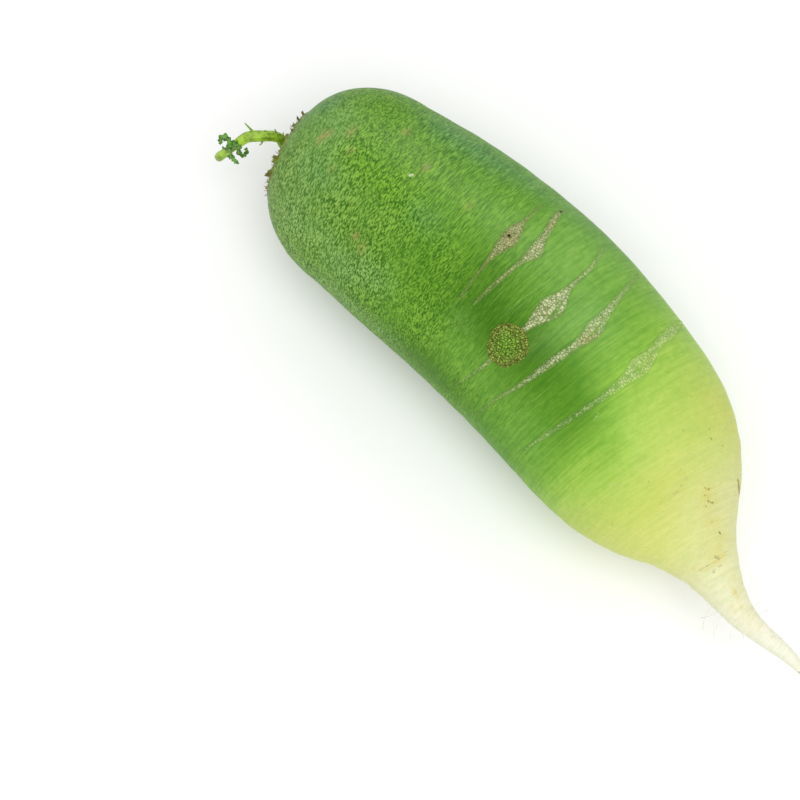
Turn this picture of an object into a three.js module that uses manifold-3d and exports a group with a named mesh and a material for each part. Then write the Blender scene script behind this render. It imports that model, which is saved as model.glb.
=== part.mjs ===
// A green daikon radish as lifted and trimmed, lying on its side: one grown root with its crown, body
// and tail, and a short young leaf in the middle of the crown. Millimetres, +Z up, tail towards +X.
import * as THREE from "three";
import Module from "manifold-3d";

const wasm = await Module();
wasm.setup();

// The root's length from the crown's face to the tail's tip, and how it is laid.
const ROOT_LENGTH = 254;
const AXIS_HEIGHT = 37.9;
const AROUND = 48;

// The crown: a nearly flat face, a small pit for the young leaf, and a rounded shoulder behind it.
const CROWN_RADIUS = 12;
const PIT_RADIUS = 2.05;
const PIT_DEPTH = 1.8;
const SHOULDER_LENGTH = 32;
const SHOULDER_FULLNESS = 1.95;

// The radius of the body and tail at distances from the crown's face.
const RADII = [
  [SHOULDER_LENGTH, 35.4], [55, 37.7], [80, 38.7], [105, 39], [130, 38.1], [142, 37.4], [152, 36.6],
  [163, 34.7], [174, 30.8], [185, 24.5], [196, 15.6], [207, 9.3], [218, 5.9], [229, 3.9], [239, 2.9],
  [248, 1.8], [ROOT_LENGTH, 1],
];

// How finely the skin is split along the root: round the shoulder in degrees, and along the body as
// stretches [start, end, steps], with the scarred one finer.
const SHOULDER_STATIONS = [0, 2.5, 5, 8, 11, 14, 18, 24, 31, 39, 48, 58, 69, 80];
const SCARRED_STRETCH = [80, 148];
const BODY_STRETCHES = [
  [SHOULDER_LENGTH, SCARRED_STRETCH[0], 4], [...SCARRED_STRETCH, 27], [SCARRED_STRETCH[1], ROOT_LENGTH, 16],
];

// The way the root's axis heads at distances from the crown, in degrees from +X towards +Y.
const HEADINGS = [
  [0, 13.4], [16, 13], [32, 10], [60, 6.6], [90, 1.5], [120, -4.8], [150, -10.4], [175, -13.7],
  [196, -15], [210, -16], [220, -11.5], [229, 2.5], [239, 5.5], [248, -5], [ROOT_LENGTH, -14],
];

// The root isn't quite round: it swells by these amounts, twice and three times around.
const SWELL_TWICE = 0.25;
const SWELL_THRICE = 0.15;

// Leaf-base scars on the crown: crescent ridges, each turned from the last by the leaves' own angle.
const CRESCENT_FIRST_RADIUS = 3.6;
const CRESCENT_STEP = 1.6;
const CRESCENT_COUNT = 8;
const CRESCENT_TURN = 137.5;
const CRESCENT_HALF_SPAN = 95;
const CRESCENT_WIDTH = 0.75;
const CRESCENT_HEIGHT = 0.8;
const CROWN_DISH = 0.7;
const CROWN_RIM_RADIUS = 16;
const CROWN_RIM_WIDTH = 1.8;
const CROWN_RIM_HEIGHT = 0.6;

// Torn stubs of old leaf bases, in a ragged ring just outside the crescents. The rim and this ring
// have their middle a little to one side of the axis, towards -Y.
const RING_ASIDE = -3;
const STUB_COUNT = 46;
const STUB_RING_RADIUS = 15.2;
const STUB_RING_SPREAD = 1.5;
const STUB_LENGTHS = [0.6, 1.9];
const STUB_WIDTHS = [0.9, 2.2];
const STUB_THICKNESS = 0.8;
const STUB_SUNK = 1.6;
const STUB_LEAN = [-0.5, 0.9];
const STUB_NOTCH = [0.35, 0.8];

// Scars of side roots: a centre line round the body as [angle, distance from the crown, half width].
// The angle is 90 at the top of the root as it lies and 0 on its +Y side.
const SIDE_SCARS = [
  [[121, 86.6, 0.3], [104, 85.8, 0.5], [94, 85.4, 1.2], [83, 85.6, 3], [76, 85, 2.2], [70, 84.7, 0.8],
    [53, 83.8, 0.3]],
  [[118, 91.7, 0.3], [101, 92.8, 0.9], [88, 93.6, 0.9], [79, 94.3, 2.5], [70, 92.7, 1.5],
    [54, 89.9, 1.3], [43, 88.8, 0.4]],
  [[161, 104, 0.3], [147, 107, 0.5], [134, 109, 0.8], [109, 110.6, 1.2], [95, 111, 4], [89, 111.4, 3.5],
    [80, 110.2, 1.1], [62, 109, 0.8], [40, 105, 0.3]],
  [[168, 117.2, 0.3], [145, 120.2, 0.6], [129, 123.2, 1], [105, 125.2, 1.7], [95, 125.8, 1.7],
    [85, 125.4, 3], [77, 124, 2], [61, 121.4, 1], [29, 117.2, 0.3]],
  [[160, 139.6, 0.3], [138, 142, 0.9], [118, 143.6, 1.1], [100, 144.4, 1.4], [86, 143.8, 2],
    [79, 143, 3.3], [70, 142, 2.4], [61, 140, 1.6], [46, 138.4, 1.8], [17, 135.4, 0.4]],
];
const SCAR_HEIGHT = 0.35;
const SCAR_FULL_WIDTH = 2.5;
const ROUND_SCAR = { angle: 120.5, distance: 110.1, radius: 7.2, height: 0.35 };

// Nubs where side roots broke off: [distance from the crown, angle, radius, length].
const NUBS = [[188, 16.5, 1.7, 1.4], [171, 258, 1.1, 0.9], [196, 68, 0.9, 0.7], [204, 250, 0.9, 0.8]];
const NUB_SUNK = 1.5;
const NUB_SIDES = 7;

// The young leaf's stalk leaves the crown's middle, points out and arches down to a broken tip.
const GAP = 0.3;
const STALK_START = 1.3;
const STALK_SIDES = 9;
const STALK_STEPS = 22;
const STALK_PATH = [[-4.6, -1.3, 39.2], [-6.7, -3.3, 41.9], [-9, -6.8, 44], [-11.9, -10.6, 44.5],
  [-13.2, -14.2, 43], [-15.3, -17.6, 38.4], [-17.6, -20.6, 33.4]];
const STALK_RADII = [[0, PIT_RADIUS - GAP], [0.1, 1.6], [0.3, 1.8], [0.5, 1.9], [0.7, 1.6], [0.85, 1.4],
  [0.95, 1.9], [1, 1.6]];

// What stands off the stalk: round spurs as a path and its radii, and waved leaflets as a path, its
// widths, and the way each leaflet faces.
const SPURS = [
  { path: [[-5.6, -2.4, 41], [-4, -3.1, 39.4], [-2.8, -3.3, 37.6]], radii: [1.1, 0.7] },
  { path: [[-10.2, -8, 44.2], [-12.4, -8.2, 46], [-15.1, -8.6, 48]], radii: [0.6, 0.32] },
  { path: [[-5, -2.2, 40.4], [-6.5, -2, 42.6], [-7.7, -1.8, 44]], radii: [0.6, 0.32] },
  { path: [[-6.9, -4.3, 42.4], [-8.6, -4.3, 44], [-9.4, -5, 45.4]], radii: [0.6, 0.32] },
  { path: [[-8.8, -6.4, 43.2], [-8.2, -7.8, 41], [-8.7, -8.5, 39.6]], radii: [0.6, 0.32] },
];
const LEAFLETS = [
  { path: [[-13, -13.8, 42.6], [-14.8, -15.9, 44.2], [-17, -16.1, 45], [-18.3, -17.1, 44],
    [-17.7, -18.6, 42]], widths: [1.6, 3, 1.2], faces: [0.4, -0.7, 0.6] },
  { path: [[-12.6, -12.6, 43.6], [-12.6, -15.8, 44.6], [-14.3, -17.8, 41.6], [-17, -18.3, 38.6]],
    widths: [1.6, 3.6, 1.6], faces: [0.5, 0.5, 0.7] },
  { path: [[-12.7, -13, 42.6], [-11.4, -15.8, 41.6], [-9.9, -15.6, 40], [-10.1, -13.3, 39],
    [-11.6, -12.8, 38.6]], widths: [1.6, 1.9, 0.9], faces: [0.3, 0.2, 0.9] },
  { path: [[-15, -17, 39.4], [-13.4, -17.9, 37.2], [-10.4, -17.5, 35]], widths: [1.6, 2.2, 0.8],
    faces: [0.2, -0.5, 0.8] },
];
const LEAFLET_THICKNESS = 0.7;
const LEAFLET_STEPS = 14;
const LEAFLET_WAVE = 0.35;
const LEAFLET_RIPPLE = 1.3;
const LEAFLET_TOOTH = 0.22;

const SEED = 20;

const skin = new THREE.MeshStandardMaterial({ color: 0x669936, roughness: 0.5, metalness: 0 });
const leafGreen = new THREE.MeshStandardMaterial({ color: 0x84b443, roughness: 0.55, metalness: 0 });

const radians = (degrees) => THREE.MathUtils.degToRad(degrees);
const bump = (distance, width) => Math.exp(-((distance / width) ** 2));

// A small seeded generator, so that every build draws the same stubs.
function drawer(seed) {
  let state = seed >>> 0;
  return (low, high) => {
    state = (Math.imul(state, 1664525) + 1013904223) >>> 0;
    return low + (high - low) * (state / 2 ** 32);
  };
}

// A smooth curve through a table's stations, with each slope taken from the neighbours.
function smooth(table, at) {
  const last = table.length - 1;
  let k = 0;
  while (k < last - 1 && at > table[k + 1][0]) {
    k += 1;
  }
  const slope = (i) => {
    const a = table[Math.max(i - 1, 0)];
    const b = table[Math.min(i + 1, last)];
    return (b[1] - a[1]) / (b[0] - a[0]);
  };
  const [x0, y0] = table[k];
  const [x1, y1] = table[k + 1];
  const h = x1 - x0;
  const t = THREE.MathUtils.clamp((at - x0) / h, 0, 1);
  return (1 + 2 * t) * (1 - t) ** 2 * y0 + t * (1 - t) ** 2 * h * slope(k)
    + t * t * (3 - 2 * t) * y1 + t * t * (t - 1) * h * slope(k + 1);
}

// The axis lies level: its heading is added up in short steps from the crown.
const AXIS_STEP = 0.5;
const AXIS = [{ x: 0, y: 0 }];
for (let s = 0; s < ROOT_LENGTH; s += AXIS_STEP) {
  const heading = radians(smooth(HEADINGS, s + AXIS_STEP / 2));
  const { x, y } = AXIS[AXIS.length - 1];
  AXIS.push({ x: x + AXIS_STEP * Math.cos(heading), y: y + AXIS_STEP * Math.sin(heading) });
}

function axisAt(s) {
  const heading = radians(smooth(HEADINGS, Math.max(s, 0)));
  const place = THREE.MathUtils.clamp(s / AXIS_STEP, 0, AXIS.length - 1);
  const k = Math.min(Math.floor(place), AXIS.length - 2);
  const t = place - k;
  const ahead = Math.min(s, 0);
  return {
    x: THREE.MathUtils.lerp(AXIS[k].x, AXIS[k + 1].x, t) + ahead * Math.cos(heading),
    y: THREE.MathUtils.lerp(AXIS[k].y, AXIS[k + 1].y, t) + ahead * Math.sin(heading),
    heading,
  };
}

// A point at a distance along the axis, and a radius and angle round it. The root's underside is
// pressed flat where it would reach below the surface it lies on.
function onRoot(s, radius, angle) {
  const { x, y, heading } = axisAt(s);
  const aside = radius * Math.cos(angle);
  const z = AXIS_HEIGHT + radius * Math.sin(angle);
  return new THREE.Vector3(x - aside * Math.sin(heading), y + aside * Math.cos(heading), Math.max(z, 0));
}

// How far the crown's face stands out at a radius and angle: a shallow dish, the crescents left by the
// leaf bases, and the corky rim round them.
function crownRelief(radius, angle) {
  let height = -CROWN_DISH * bump(radius, CROWN_RADIUS * 0.7);
  for (let k = 0; k < CRESCENT_COUNT; k += 1) {
    const turn = angle - radians(k * CRESCENT_TURN);
    const away = Math.abs(Math.atan2(Math.sin(turn), Math.cos(turn))) / radians(CRESCENT_HALF_SPAN);
    const ringRadius = CRESCENT_FIRST_RADIUS + k * CRESCENT_STEP;
    const fade = Math.max(0, 1 - away ** 3);
    height += CRESCENT_HEIGHT * fade * bump(radius - ringRadius, CRESCENT_WIDTH);
  }
  const fromRing = Math.hypot(radius * Math.cos(angle) - RING_ASIDE, radius * Math.sin(angle));
  return height + CROWN_RIM_HEIGHT * bump(fromRing - CROWN_RIM_RADIUS, CROWN_RIM_WIDTH);
}

// How far the shoulder has fallen back from the crown's face at a radius.
function shoulderFall(radius) {
  const share = Math.max(0, radius - CROWN_RADIUS) / (RADII[0][1] - CROWN_RADIUS);
  return SHOULDER_LENGTH * (1 - (1 - share ** SHOULDER_FULLNESS) ** (1 / SHOULDER_FULLNESS));
}

// How far the body stands out at a side root's scar: full at its centre line, nothing past its edge.
function scarRelief(s, radius, angle) {
  const degrees = THREE.MathUtils.radToDeg(angle);
  let height = 0;
  for (const scar of SIDE_SCARS) {
    const line = scar.map(([a, distance]) => [a, distance]).reverse();
    const halves = scar.map(([a, , half]) => [a, half]).reverse();
    if (degrees > line[0][0] && degrees < line[line.length - 1][0]) {
      const half = smooth(halves, degrees);
      const rise = SCAR_HEIGHT * Math.min(1, half / SCAR_FULL_WIDTH);
      height = Math.max(height, rise * bump(s - smooth(line, degrees), half * 1.2));
    }
  }
  const across = (angle - radians(ROUND_SCAR.angle)) * radius;
  const away = Math.hypot(across, s - ROUND_SCAR.distance);
  const disc = ROUND_SCAR.height * (1 - THREE.MathUtils.smoothstep(away, ROUND_SCAR.radius * 0.8,
    ROUND_SCAR.radius * 1.15));
  return Math.max(height, disc);
}

// The root's side view as stations, each with its place and the way its surface faces: the crown's
// face, the shoulder, and the body down to the tail.
function rootStations() {
  const stations = [];
  for (let r = CRESCENT_FIRST_RADIUS - CRESCENT_STEP / 2; r < CROWN_RADIUS; r += CRESCENT_STEP / 2) {
    stations.push({ s: 0, r, nearCrown: true });
  }
  const power = 2 / SHOULDER_FULLNESS;
  const rise = RADII[0][1] - CROWN_RADIUS;
  for (const degrees of SHOULDER_STATIONS) {
    const phi = radians(degrees);
    const s = SHOULDER_LENGTH * (1 - Math.cos(phi) ** power);
    stations.push({ s, r: CROWN_RADIUS + rise * Math.sin(phi) ** power, nearCrown: true });
  }
  for (const [start, end, count] of BODY_STRETCHES) {
    for (let k = 0; k < count; k += 1) {
      const s = THREE.MathUtils.lerp(start, end, k / count);
      stations.push({ s, r: smooth(RADII, s) });
    }
  }
  stations.push({ s: ROOT_LENGTH, r: smooth(RADII, ROOT_LENGTH) });
  return stations;
}

// The point of the root's skin at a station and angle, with its swell and relief.
function skinPoint(station, angle) {
  const { s, r, nearCrown } = station;
  const share = Math.min(1, r / RADII[0][1]) ** 2;
  const swell = share * (SWELL_TWICE * Math.cos(2 * angle + s / 60)
    + SWELL_THRICE * Math.sin(3 * angle - s / 35));
  const forward = nearCrown ? crownRelief(r, angle) : 0;
  const outward = nearCrown ? 0 : scarRelief(s, r, angle);
  return onRoot(s - forward, r + swell + outward, angle);
}

// Joins rows of points, each a closed ring, into a closed body: the first and last rings are closed
// by fans to the two given ends.
function bodyFromRings(rings, first, last) {
  const points = [first, ...rings.flat(), last];
  const around = rings[0].length;
  const at = (row, k) => 1 + row * around + (k % around);
  const end = points.length - 1;
  const triangles = [];
  for (let k = 0; k < around; k += 1) {
    triangles.push(0, at(0, k + 1), at(0, k));
    for (let row = 0; row < rings.length - 1; row += 1) {
      triangles.push(at(row, k), at(row, k + 1), at(row + 1, k + 1));
      triangles.push(at(row, k), at(row + 1, k + 1), at(row + 1, k));
    }
    triangles.push(end, at(rings.length - 1, k), at(rings.length - 1, k + 1));
  }
  return solid(points, triangles);
}

// A solid from shared points and triangles, turned right side out if need be.
function solid(points, triangles) {
  const vertProperties = new Float32Array(points.flatMap((p) => [p.x, p.y, p.z]));
  const volume = triangles.reduce((sum, _, i) => (i % 3 ? sum : sum
    + points[triangles[i]].dot(new THREE.Vector3().crossVectors(points[triangles[i + 1]],
      points[triangles[i + 2]]))), 0);
  const triVerts = new Uint32Array(triangles);
  if (volume < 0) {
    triVerts.reverse();
  }
  return new wasm.Manifold(new wasm.Mesh({ numProp: 3, vertProperties, triVerts }));
}

// A tube along a smooth path with radii [share of the path, radius].
function tube(path, radii, sides, steps) {
  const curve = new THREE.CatmullRomCurve3(path);
  const frames = curve.computeFrenetFrames(steps, false);
  const rings = [];
  for (let i = 0; i <= steps; i += 1) {
    const centre = curve.getPointAt(i / steps);
    const radius = smooth(radii, i / steps);
    const ring = [];
    for (let k = 0; k < sides; k += 1) {
      const angle = (k / sides) * 2 * Math.PI;
      ring.push(centre.clone()
        .addScaledVector(frames.normals[i], radius * Math.cos(angle))
        .addScaledVector(frames.binormals[i], radius * Math.sin(angle)));
    }
    rings.push(ring);
  }
  return bodyFromRings(rings, curve.getPointAt(0), curve.getPointAt(1));
}

// A waved leaflet: a strip along its path, as wide as its three widths say, with toothed edges and
// both faces split into triangles alike.
function leaflet({ path, widths, faces }, index) {
  const curve = new THREE.CatmullRomCurve3(path.map((p) => new THREE.Vector3(...p)));
  const facing = new THREE.Vector3(...faces).normalize();
  const points = [];
  for (let i = 0; i <= LEAFLET_STEPS; i += 1) {
    const t = i / LEAFLET_STEPS;
    const centre = curve.getPointAt(t);
    const side = new THREE.Vector3().crossVectors(curve.getTangentAt(t), facing).normalize();
    const normal = new THREE.Vector3().crossVectors(side, curve.getTangentAt(t)).normalize();
    const width = smooth([[0, widths[0]], [0.5, widths[1]], [1, widths[2]]], t);
    for (const across of [-1, 0, 1]) {
      const tooth = 1 + LEAFLET_TOOTH * Math.cos(i * Math.PI + across + index);
      const wave = across * across * LEAFLET_WAVE * Math.sin(i * LEAFLET_RIPPLE + across + index * 2);
      for (const face of [-1, 1]) {
        points.push(centre.clone()
          .addScaledVector(side, (across * width * tooth) / 2)
          .addScaledVector(normal, wave + (face * LEAFLET_THICKNESS) / 2));
      }
    }
  }
  const at = (i, column, face) => (i * 3 + column) * 2 + face;
  const triangles = [];
  const quad = (a, b, c, d) => triangles.push(a, b, c, a, c, d);
  for (let i = 0; i < LEAFLET_STEPS; i += 1) {
    for (const column of [0, 1]) {
      quad(at(i, column, 1), at(i + 1, column, 1), at(i + 1, column + 1, 1), at(i, column + 1, 1));
      triangles.push(at(i, column, 0), at(i + 1, column + 1, 0), at(i + 1, column, 0));
      triangles.push(at(i, column, 0), at(i, column + 1, 0), at(i + 1, column + 1, 0));
    }
    quad(at(i, 0, 0), at(i + 1, 0, 0), at(i + 1, 0, 1), at(i, 0, 1));
    quad(at(i, 2, 1), at(i + 1, 2, 1), at(i + 1, 2, 0), at(i, 2, 0));
  }
  for (const column of [0, 1]) {
    quad(at(0, column, 0), at(0, column, 1), at(0, column + 1, 1), at(0, column + 1, 0));
    const n = LEAFLET_STEPS;
    quad(at(n, column, 1), at(n, column, 0), at(n, column + 1, 0), at(n, column + 1, 1));
  }
  return solid(points, triangles);
}

// One torn stub: a small blade that stands out of the crown at an angle round the ring's middle,
// narrowing to two uneven points, and sunk well in.
function stub(draw, angle) {
  const radius = STUB_RING_RADIUS + draw(-STUB_RING_SPREAD, STUB_RING_SPREAD);
  const length = draw(...STUB_LENGTHS);
  const half = draw(...STUB_WIDTHS) / 2;
  const lean = draw(...STUB_LEAN);
  const notch = draw(...STUB_NOTCH);
  const outline = [[-half, -STUB_SUNK], [half, -STUB_SUNK], [half * 0.7, length], [0, length * notch],
    [-half * 0.6, length * (notch + 0.15)]];
  const fromAxis = (out, turn) => [RING_ASIDE + out * Math.cos(turn), out * Math.sin(turn)];
  const fall = shoulderFall(Math.hypot(...fromAxis(radius, angle)));
  const points = [];
  for (const face of [-1, 1]) {
    for (const [across, up] of outline) {
      const out = radius + (face * STUB_THICKNESS) / 2 + lean * Math.max(up, 0);
      const [aside, above] = fromAxis(out, angle + across / radius);
      points.push(onRoot(fall - up, Math.hypot(aside, above), Math.atan2(above, aside)));
    }
  }
  const count = outline.length;
  const cap = THREE.ShapeUtils.triangulateShape(outline.map(([x, y]) => new THREE.Vector2(x, y)), []);
  const triangles = [];
  for (const [a, b, c] of cap) {
    triangles.push(a, c, b, a + count, b + count, c + count);
  }
  for (let k = 0; k < count; k += 1) {
    const next = (k + 1) % count;
    triangles.push(k, next, next + count, k, next + count, k + count);
  }
  return solid(points, triangles);
}

// A broken side root: a short tapered peg that points straight out of the skin.
function nub([s, degrees, radius, length]) {
  const angle = radians(degrees);
  const base = smooth(RADII, s);
  const foot = onRoot(s, base - NUB_SUNK, angle);
  const tip = onRoot(s, base + length, angle);
  return tube([foot, foot.clone().lerp(tip, 0.5), tip], [[0, radius], [1, radius * 0.55]], NUB_SIDES, 3);
}

function rootSolid() {
  const angles = Array.from({ length: AROUND }, (_, k) => (k / AROUND) * 2 * Math.PI);
  const pitFloor = angles.map((angle) => onRoot(PIT_DEPTH, PIT_RADIUS, angle));
  const pitMouth = angles.map((angle) => onRoot(-crownRelief(PIT_RADIUS, angle), PIT_RADIUS, angle));
  const rings = rootStations().map((station) => angles.map((angle) => skinPoint(station, angle)));
  const ends = [onRoot(PIT_DEPTH, 0, 0), onRoot(ROOT_LENGTH, 0, 0)];
  let root = bodyFromRings([pitFloor, pitMouth, ...rings], ...ends);
  const draw = drawer(SEED);
  for (let k = 0; k < STUB_COUNT; k += 1) {
    const place = (k + draw(-0.3, 0.3)) / STUB_COUNT;
    root = root.add(stub(draw, place * 2 * Math.PI));
  }
  for (const place of NUBS) {
    root = root.add(nub(place));
  }
  return root;
}

function leafSolid() {
  const foot = onRoot(STALK_START, 0, 0);
  const mouth = onRoot(-STALK_START, 0, 0);
  const stalkPath = [foot, mouth, ...STALK_PATH.map((p) => new THREE.Vector3(...p))];
  let leaf = tube(stalkPath, STALK_RADII, STALK_SIDES, STALK_STEPS);
  for (const { path, radii } of SPURS) {
    const [thick, thin] = radii;
    leaf = leaf.add(tube(path.map((p) => new THREE.Vector3(...p)), [[0, thick], [1, thin]], 6, 5));
  }
  LEAFLETS.forEach((form, index) => {
    leaf = leaf.add(leaflet(form, index));
  });
  return leaf;
}

// A named mesh from a finished solid.
function meshOf(body, name, material) {
  const { vertProperties, triVerts } = body.getMesh();
  const geometry = new THREE.BufferGeometry();
  geometry.setAttribute("position", new THREE.BufferAttribute(vertProperties, 3));
  geometry.setIndex(new THREE.BufferAttribute(triVerts, 1));
  geometry.computeVertexNormals();
  const mesh = new THREE.Mesh(geometry, material);
  mesh.name = name;
  return mesh;
}

const radish = new THREE.Group();
radish.add(meshOf(rootSolid(), "root", skin));
radish.add(meshOf(leafSolid(), "young_leaf", leafGreen));

// The origin is on the surface, under the middle of the whole object.
const middle = new THREE.Box3().setFromObject(radish).getCenter(new THREE.Vector3());
radish.position.set(-middle.x, -middle.y, 0);
radish.updateMatrixWorld(true);

export default radish;
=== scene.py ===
"""A green daikon radish lying on a pale floor: its grown root, the torn fringe round its crown, its
young leaf and the hair roots of its tail. Shapes are worked out in millimetres along the root's own
axis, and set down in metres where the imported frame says."""

import math

import bpy
import numpy as np
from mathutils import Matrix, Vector


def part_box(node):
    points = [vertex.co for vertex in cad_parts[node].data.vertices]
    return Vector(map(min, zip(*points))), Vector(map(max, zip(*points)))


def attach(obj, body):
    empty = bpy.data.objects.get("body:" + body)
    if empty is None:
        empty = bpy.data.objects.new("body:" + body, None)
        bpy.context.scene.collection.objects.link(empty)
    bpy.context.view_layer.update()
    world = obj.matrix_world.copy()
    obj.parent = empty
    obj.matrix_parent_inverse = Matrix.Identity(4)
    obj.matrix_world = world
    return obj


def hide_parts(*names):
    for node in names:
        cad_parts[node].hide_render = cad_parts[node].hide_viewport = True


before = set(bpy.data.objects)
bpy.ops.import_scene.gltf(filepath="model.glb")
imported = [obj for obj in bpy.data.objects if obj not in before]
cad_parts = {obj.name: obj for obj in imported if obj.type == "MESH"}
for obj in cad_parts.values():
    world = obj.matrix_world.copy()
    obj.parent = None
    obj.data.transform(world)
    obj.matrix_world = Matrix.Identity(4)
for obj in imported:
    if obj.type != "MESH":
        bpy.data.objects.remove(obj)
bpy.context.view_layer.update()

bl_info = {
    "name": "Green daikon radish",
    "version": (1, 0, 0),
    "blender": (4, 5, 0),
    "location": "3D View > Sidebar > Radish",
    "description": "Makes a green daikon radish with its crown, young leaf, scars and tail",
    "category": "Add Mesh",
}

MM = 0.001

# The root, as in the part's source: lengths in mm, headings in degrees from +X towards +Y.
ROOT_LENGTH = 254.0
AXIS_HEIGHT = 37.9
CROWN_RADIUS = 12.0
PIT_RADIUS = 2.05
PIT_DEPTH = 1.8
SHOULDER_LENGTH = 32.0
SHOULDER_FULLNESS = 1.95
RADII = (
    (SHOULDER_LENGTH, 35.4), (55, 37.7), (80, 38.7), (105, 39), (130, 38.1), (142, 37.4), (152, 36.6),
    (163, 34.7), (174, 30.8), (185, 24.5), (196, 15.6), (207, 9.3), (218, 5.9), (229, 3.9), (239, 2.9),
    (248, 1.8), (ROOT_LENGTH, 1),
)
HEADINGS = (
    (0, 13.4), (16, 13), (32, 10), (60, 6.6), (90, 1.5), (120, -4.8), (150, -10.4), (175, -13.7),
    (196, -15), (210, -16), (220, -11.5), (229, 2.5), (239, 5.5), (248, -5), (ROOT_LENGTH, -14),
)
SWELL_TWICE = 0.25
SWELL_THRICE = 0.15
AXIS_STEP = 0.25

# The skin's slow waviness: height, lengths along the root, upwards and sideways, and seed.
WAVINESS = ((0.14, 9, 15, 19, 2), (0.05, 2.2, 12, 10, 3))
WAVE_COUNT = 7
WAVE_PACE = (0.6, 1.7)
LOWER_FOLDS = 0.16
THINNEST = 0.2

# The grid of the skin: points round the root, rows over the crown's face, rows down the shoulder
# between angles of its stretched quarter circle, and rows between distances along the body.
AROUND = 220
FACE_ROWS = 38
SHOULDER_ROWS = ((0.6, 20, 30), (22.5, 88, 30))
BODY_ROWS = ((SHOULDER_LENGTH, 80, 38), (80, 151, 200), (151, 212, 62))
TAIL_ROWS = (212, ROOT_LENGTH, 34)

# The crown's crescents, rim and torn stubs, as in the part's source.
CRESCENT_FIRST_RADIUS = 3.6
CRESCENT_STEP = 1.6
CRESCENT_COUNT = 8
CRESCENT_TURN = 137.5
CRESCENT_HALF_SPAN = 95.0
CRESCENT_WIDTH = 0.75
CRESCENT_HEIGHT = 0.8
CRESCENT_WANDER = 0.25
CRESCENT_SHARPNESS = 0.85
CROWN_DISH = 0.7
DISH_WIDTH = 0.7
CROWN_RIM_RADIUS = 16.0
CROWN_RIM_WIDTH = 1.8
CROWN_RIM_HEIGHT = 0.6
RAGGED_HEIGHT = 0.28
RAGGED_WIDTH = 2.6
RAGGED_GRAIN = 1.3
RING_ASIDE = -3.0
STUB_COUNT = 46
STUB_RING_RADIUS = 15.2
STUB_RING_SPREAD = 1.5
STUB_LENGTHS = (0.6, 1.9)
STUB_WIDTHS = (0.9, 2.2)
STUB_SUNK = 1.6
STUB_LEAN = (-0.5, 0.9)
STUB_NOTCH = (0.35, 0.8)
STUB_THICKNESS = 0.36
STUB_GRID = 9
SEED = 20

# The dry fibres among the stubs: ranges in mm that each one draws from.
FIBRE_COUNT = 150
FIBRE_SPREAD = 1.6
FIBRE_LENGTHS = (0.5, 2.1)
FIBRE_SWING = (-0.9, 0.9)
FIBRE_LEAN = (-0.3, 1.2)
FIBRE_THICKNESS = (0.09, 0.2)
FIBRE_DRYNESS = (0.2, 1)
FIBRE_STEPS = np.array([-0.8, 0.0, 0.5, 1.0])

# Points round a tube and steps along it, and how thin a fibre or hair root is at its tip, as a share
# of its foot.
STALK_GRID = (40, 90)
SPUR_GRID = (12, 16)
FIBRE_GRID = (5, 6)
HAIR_GRID = (6, 14)
THIN_END = 0.4

# Side-root scars: (angle, distance from the crown, half width) along each. Then how tan and how pale
# each one is, and how fine its cells are.
SIDE_SCARS = (
    ((121, 86.6, 0.3), (104, 85.8, 0.5), (94, 85.4, 1.2), (83, 85.6, 3), (76, 85, 2.2), (70, 84.7, 0.8),
     (53, 83.8, 0.3)),
    ((118, 91.7, 0.3), (101, 92.8, 0.9), (88, 93.6, 0.9), (79, 94.3, 2.5), (70, 92.7, 1.5),
     (54, 89.9, 1.3), (43, 88.8, 0.4)),
    ((161, 104, 0.3), (147, 107, 0.5), (134, 109, 0.8), (109, 110.6, 1.2), (95, 111, 4), (89, 111.4, 3.5),
     (80, 110.2, 1.1), (62, 109, 0.8), (40, 105, 0.3)),
    ((168, 117.2, 0.3), (145, 120.2, 0.6), (129, 123.2, 1), (105, 125.2, 1.7), (95, 125.8, 1.7),
     (85, 125.4, 3), (77, 124, 2), (61, 121.4, 1), (29, 117.2, 0.3)),
    ((160, 139.6, 0.3), (138, 142, 0.9), (118, 143.6, 1.1), (100, 144.4, 1.4), (86, 143.8, 2),
     (79, 143, 3.3), (70, 142, 2.4), (61, 140, 1.6), (46, 138.4, 1.8), (17, 135.4, 0.4)),
)
SCAR_TAN = (0.85, 0.55, 0.4, 0.25, 0.05)
SCAR_PALE = (0.72, 0.88, 1.0, 0.76, 0.4)
SCAR_CELLS = (1.3, 1.15, 0.95, 1.05, 1.0)
FAR_SCAR_LOOK = (0.4, 0.6, 1.0)
SCAR_HEIGHT = 0.35
SCAR_FULL_WIDTH = 2.5
ROUND_SCAR_ANGLE = 120.5
ROUND_SCAR_DISTANCE = 110.1
ROUND_SCAR_RADIUS = 7.4
ROUND_SCAR_HEIGHT = 0.35
ROUND_SCAR_WOBBLE = 0.25
SLIT_DEPTH = 0.12
OUTSIDE = -9.0

# Green slits inside three of the scars, in the same form.
SCAR_SLITS = (
    ((99, 113, 0.1), (93, 113.2, 0.7), (86, 112, 0.1)),
    ((93, 126.4, 0.1), (85, 126, 0.35), (76, 124, 0.1)),
    ((84, 144, 0.1), (78, 143.4, 0.45), (66, 141.4, 0.1)),
)

# Faint scars on the root's far side, where the opposite row of side roots grew.
FAR_SCARS = tuple(
    ((angle + 26, distance - 2, 0.3), (angle + 8, distance, 1.1), (angle, distance + 0.6, width),
     (angle - 8, distance, 1), (angle - 24, distance - 2, 0.3))
    for angle, distance, width in ((247, 96, 2.4), (292, 113, 2.1), (241, 131, 2.6), (296, 147, 1.9))
)

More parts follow.
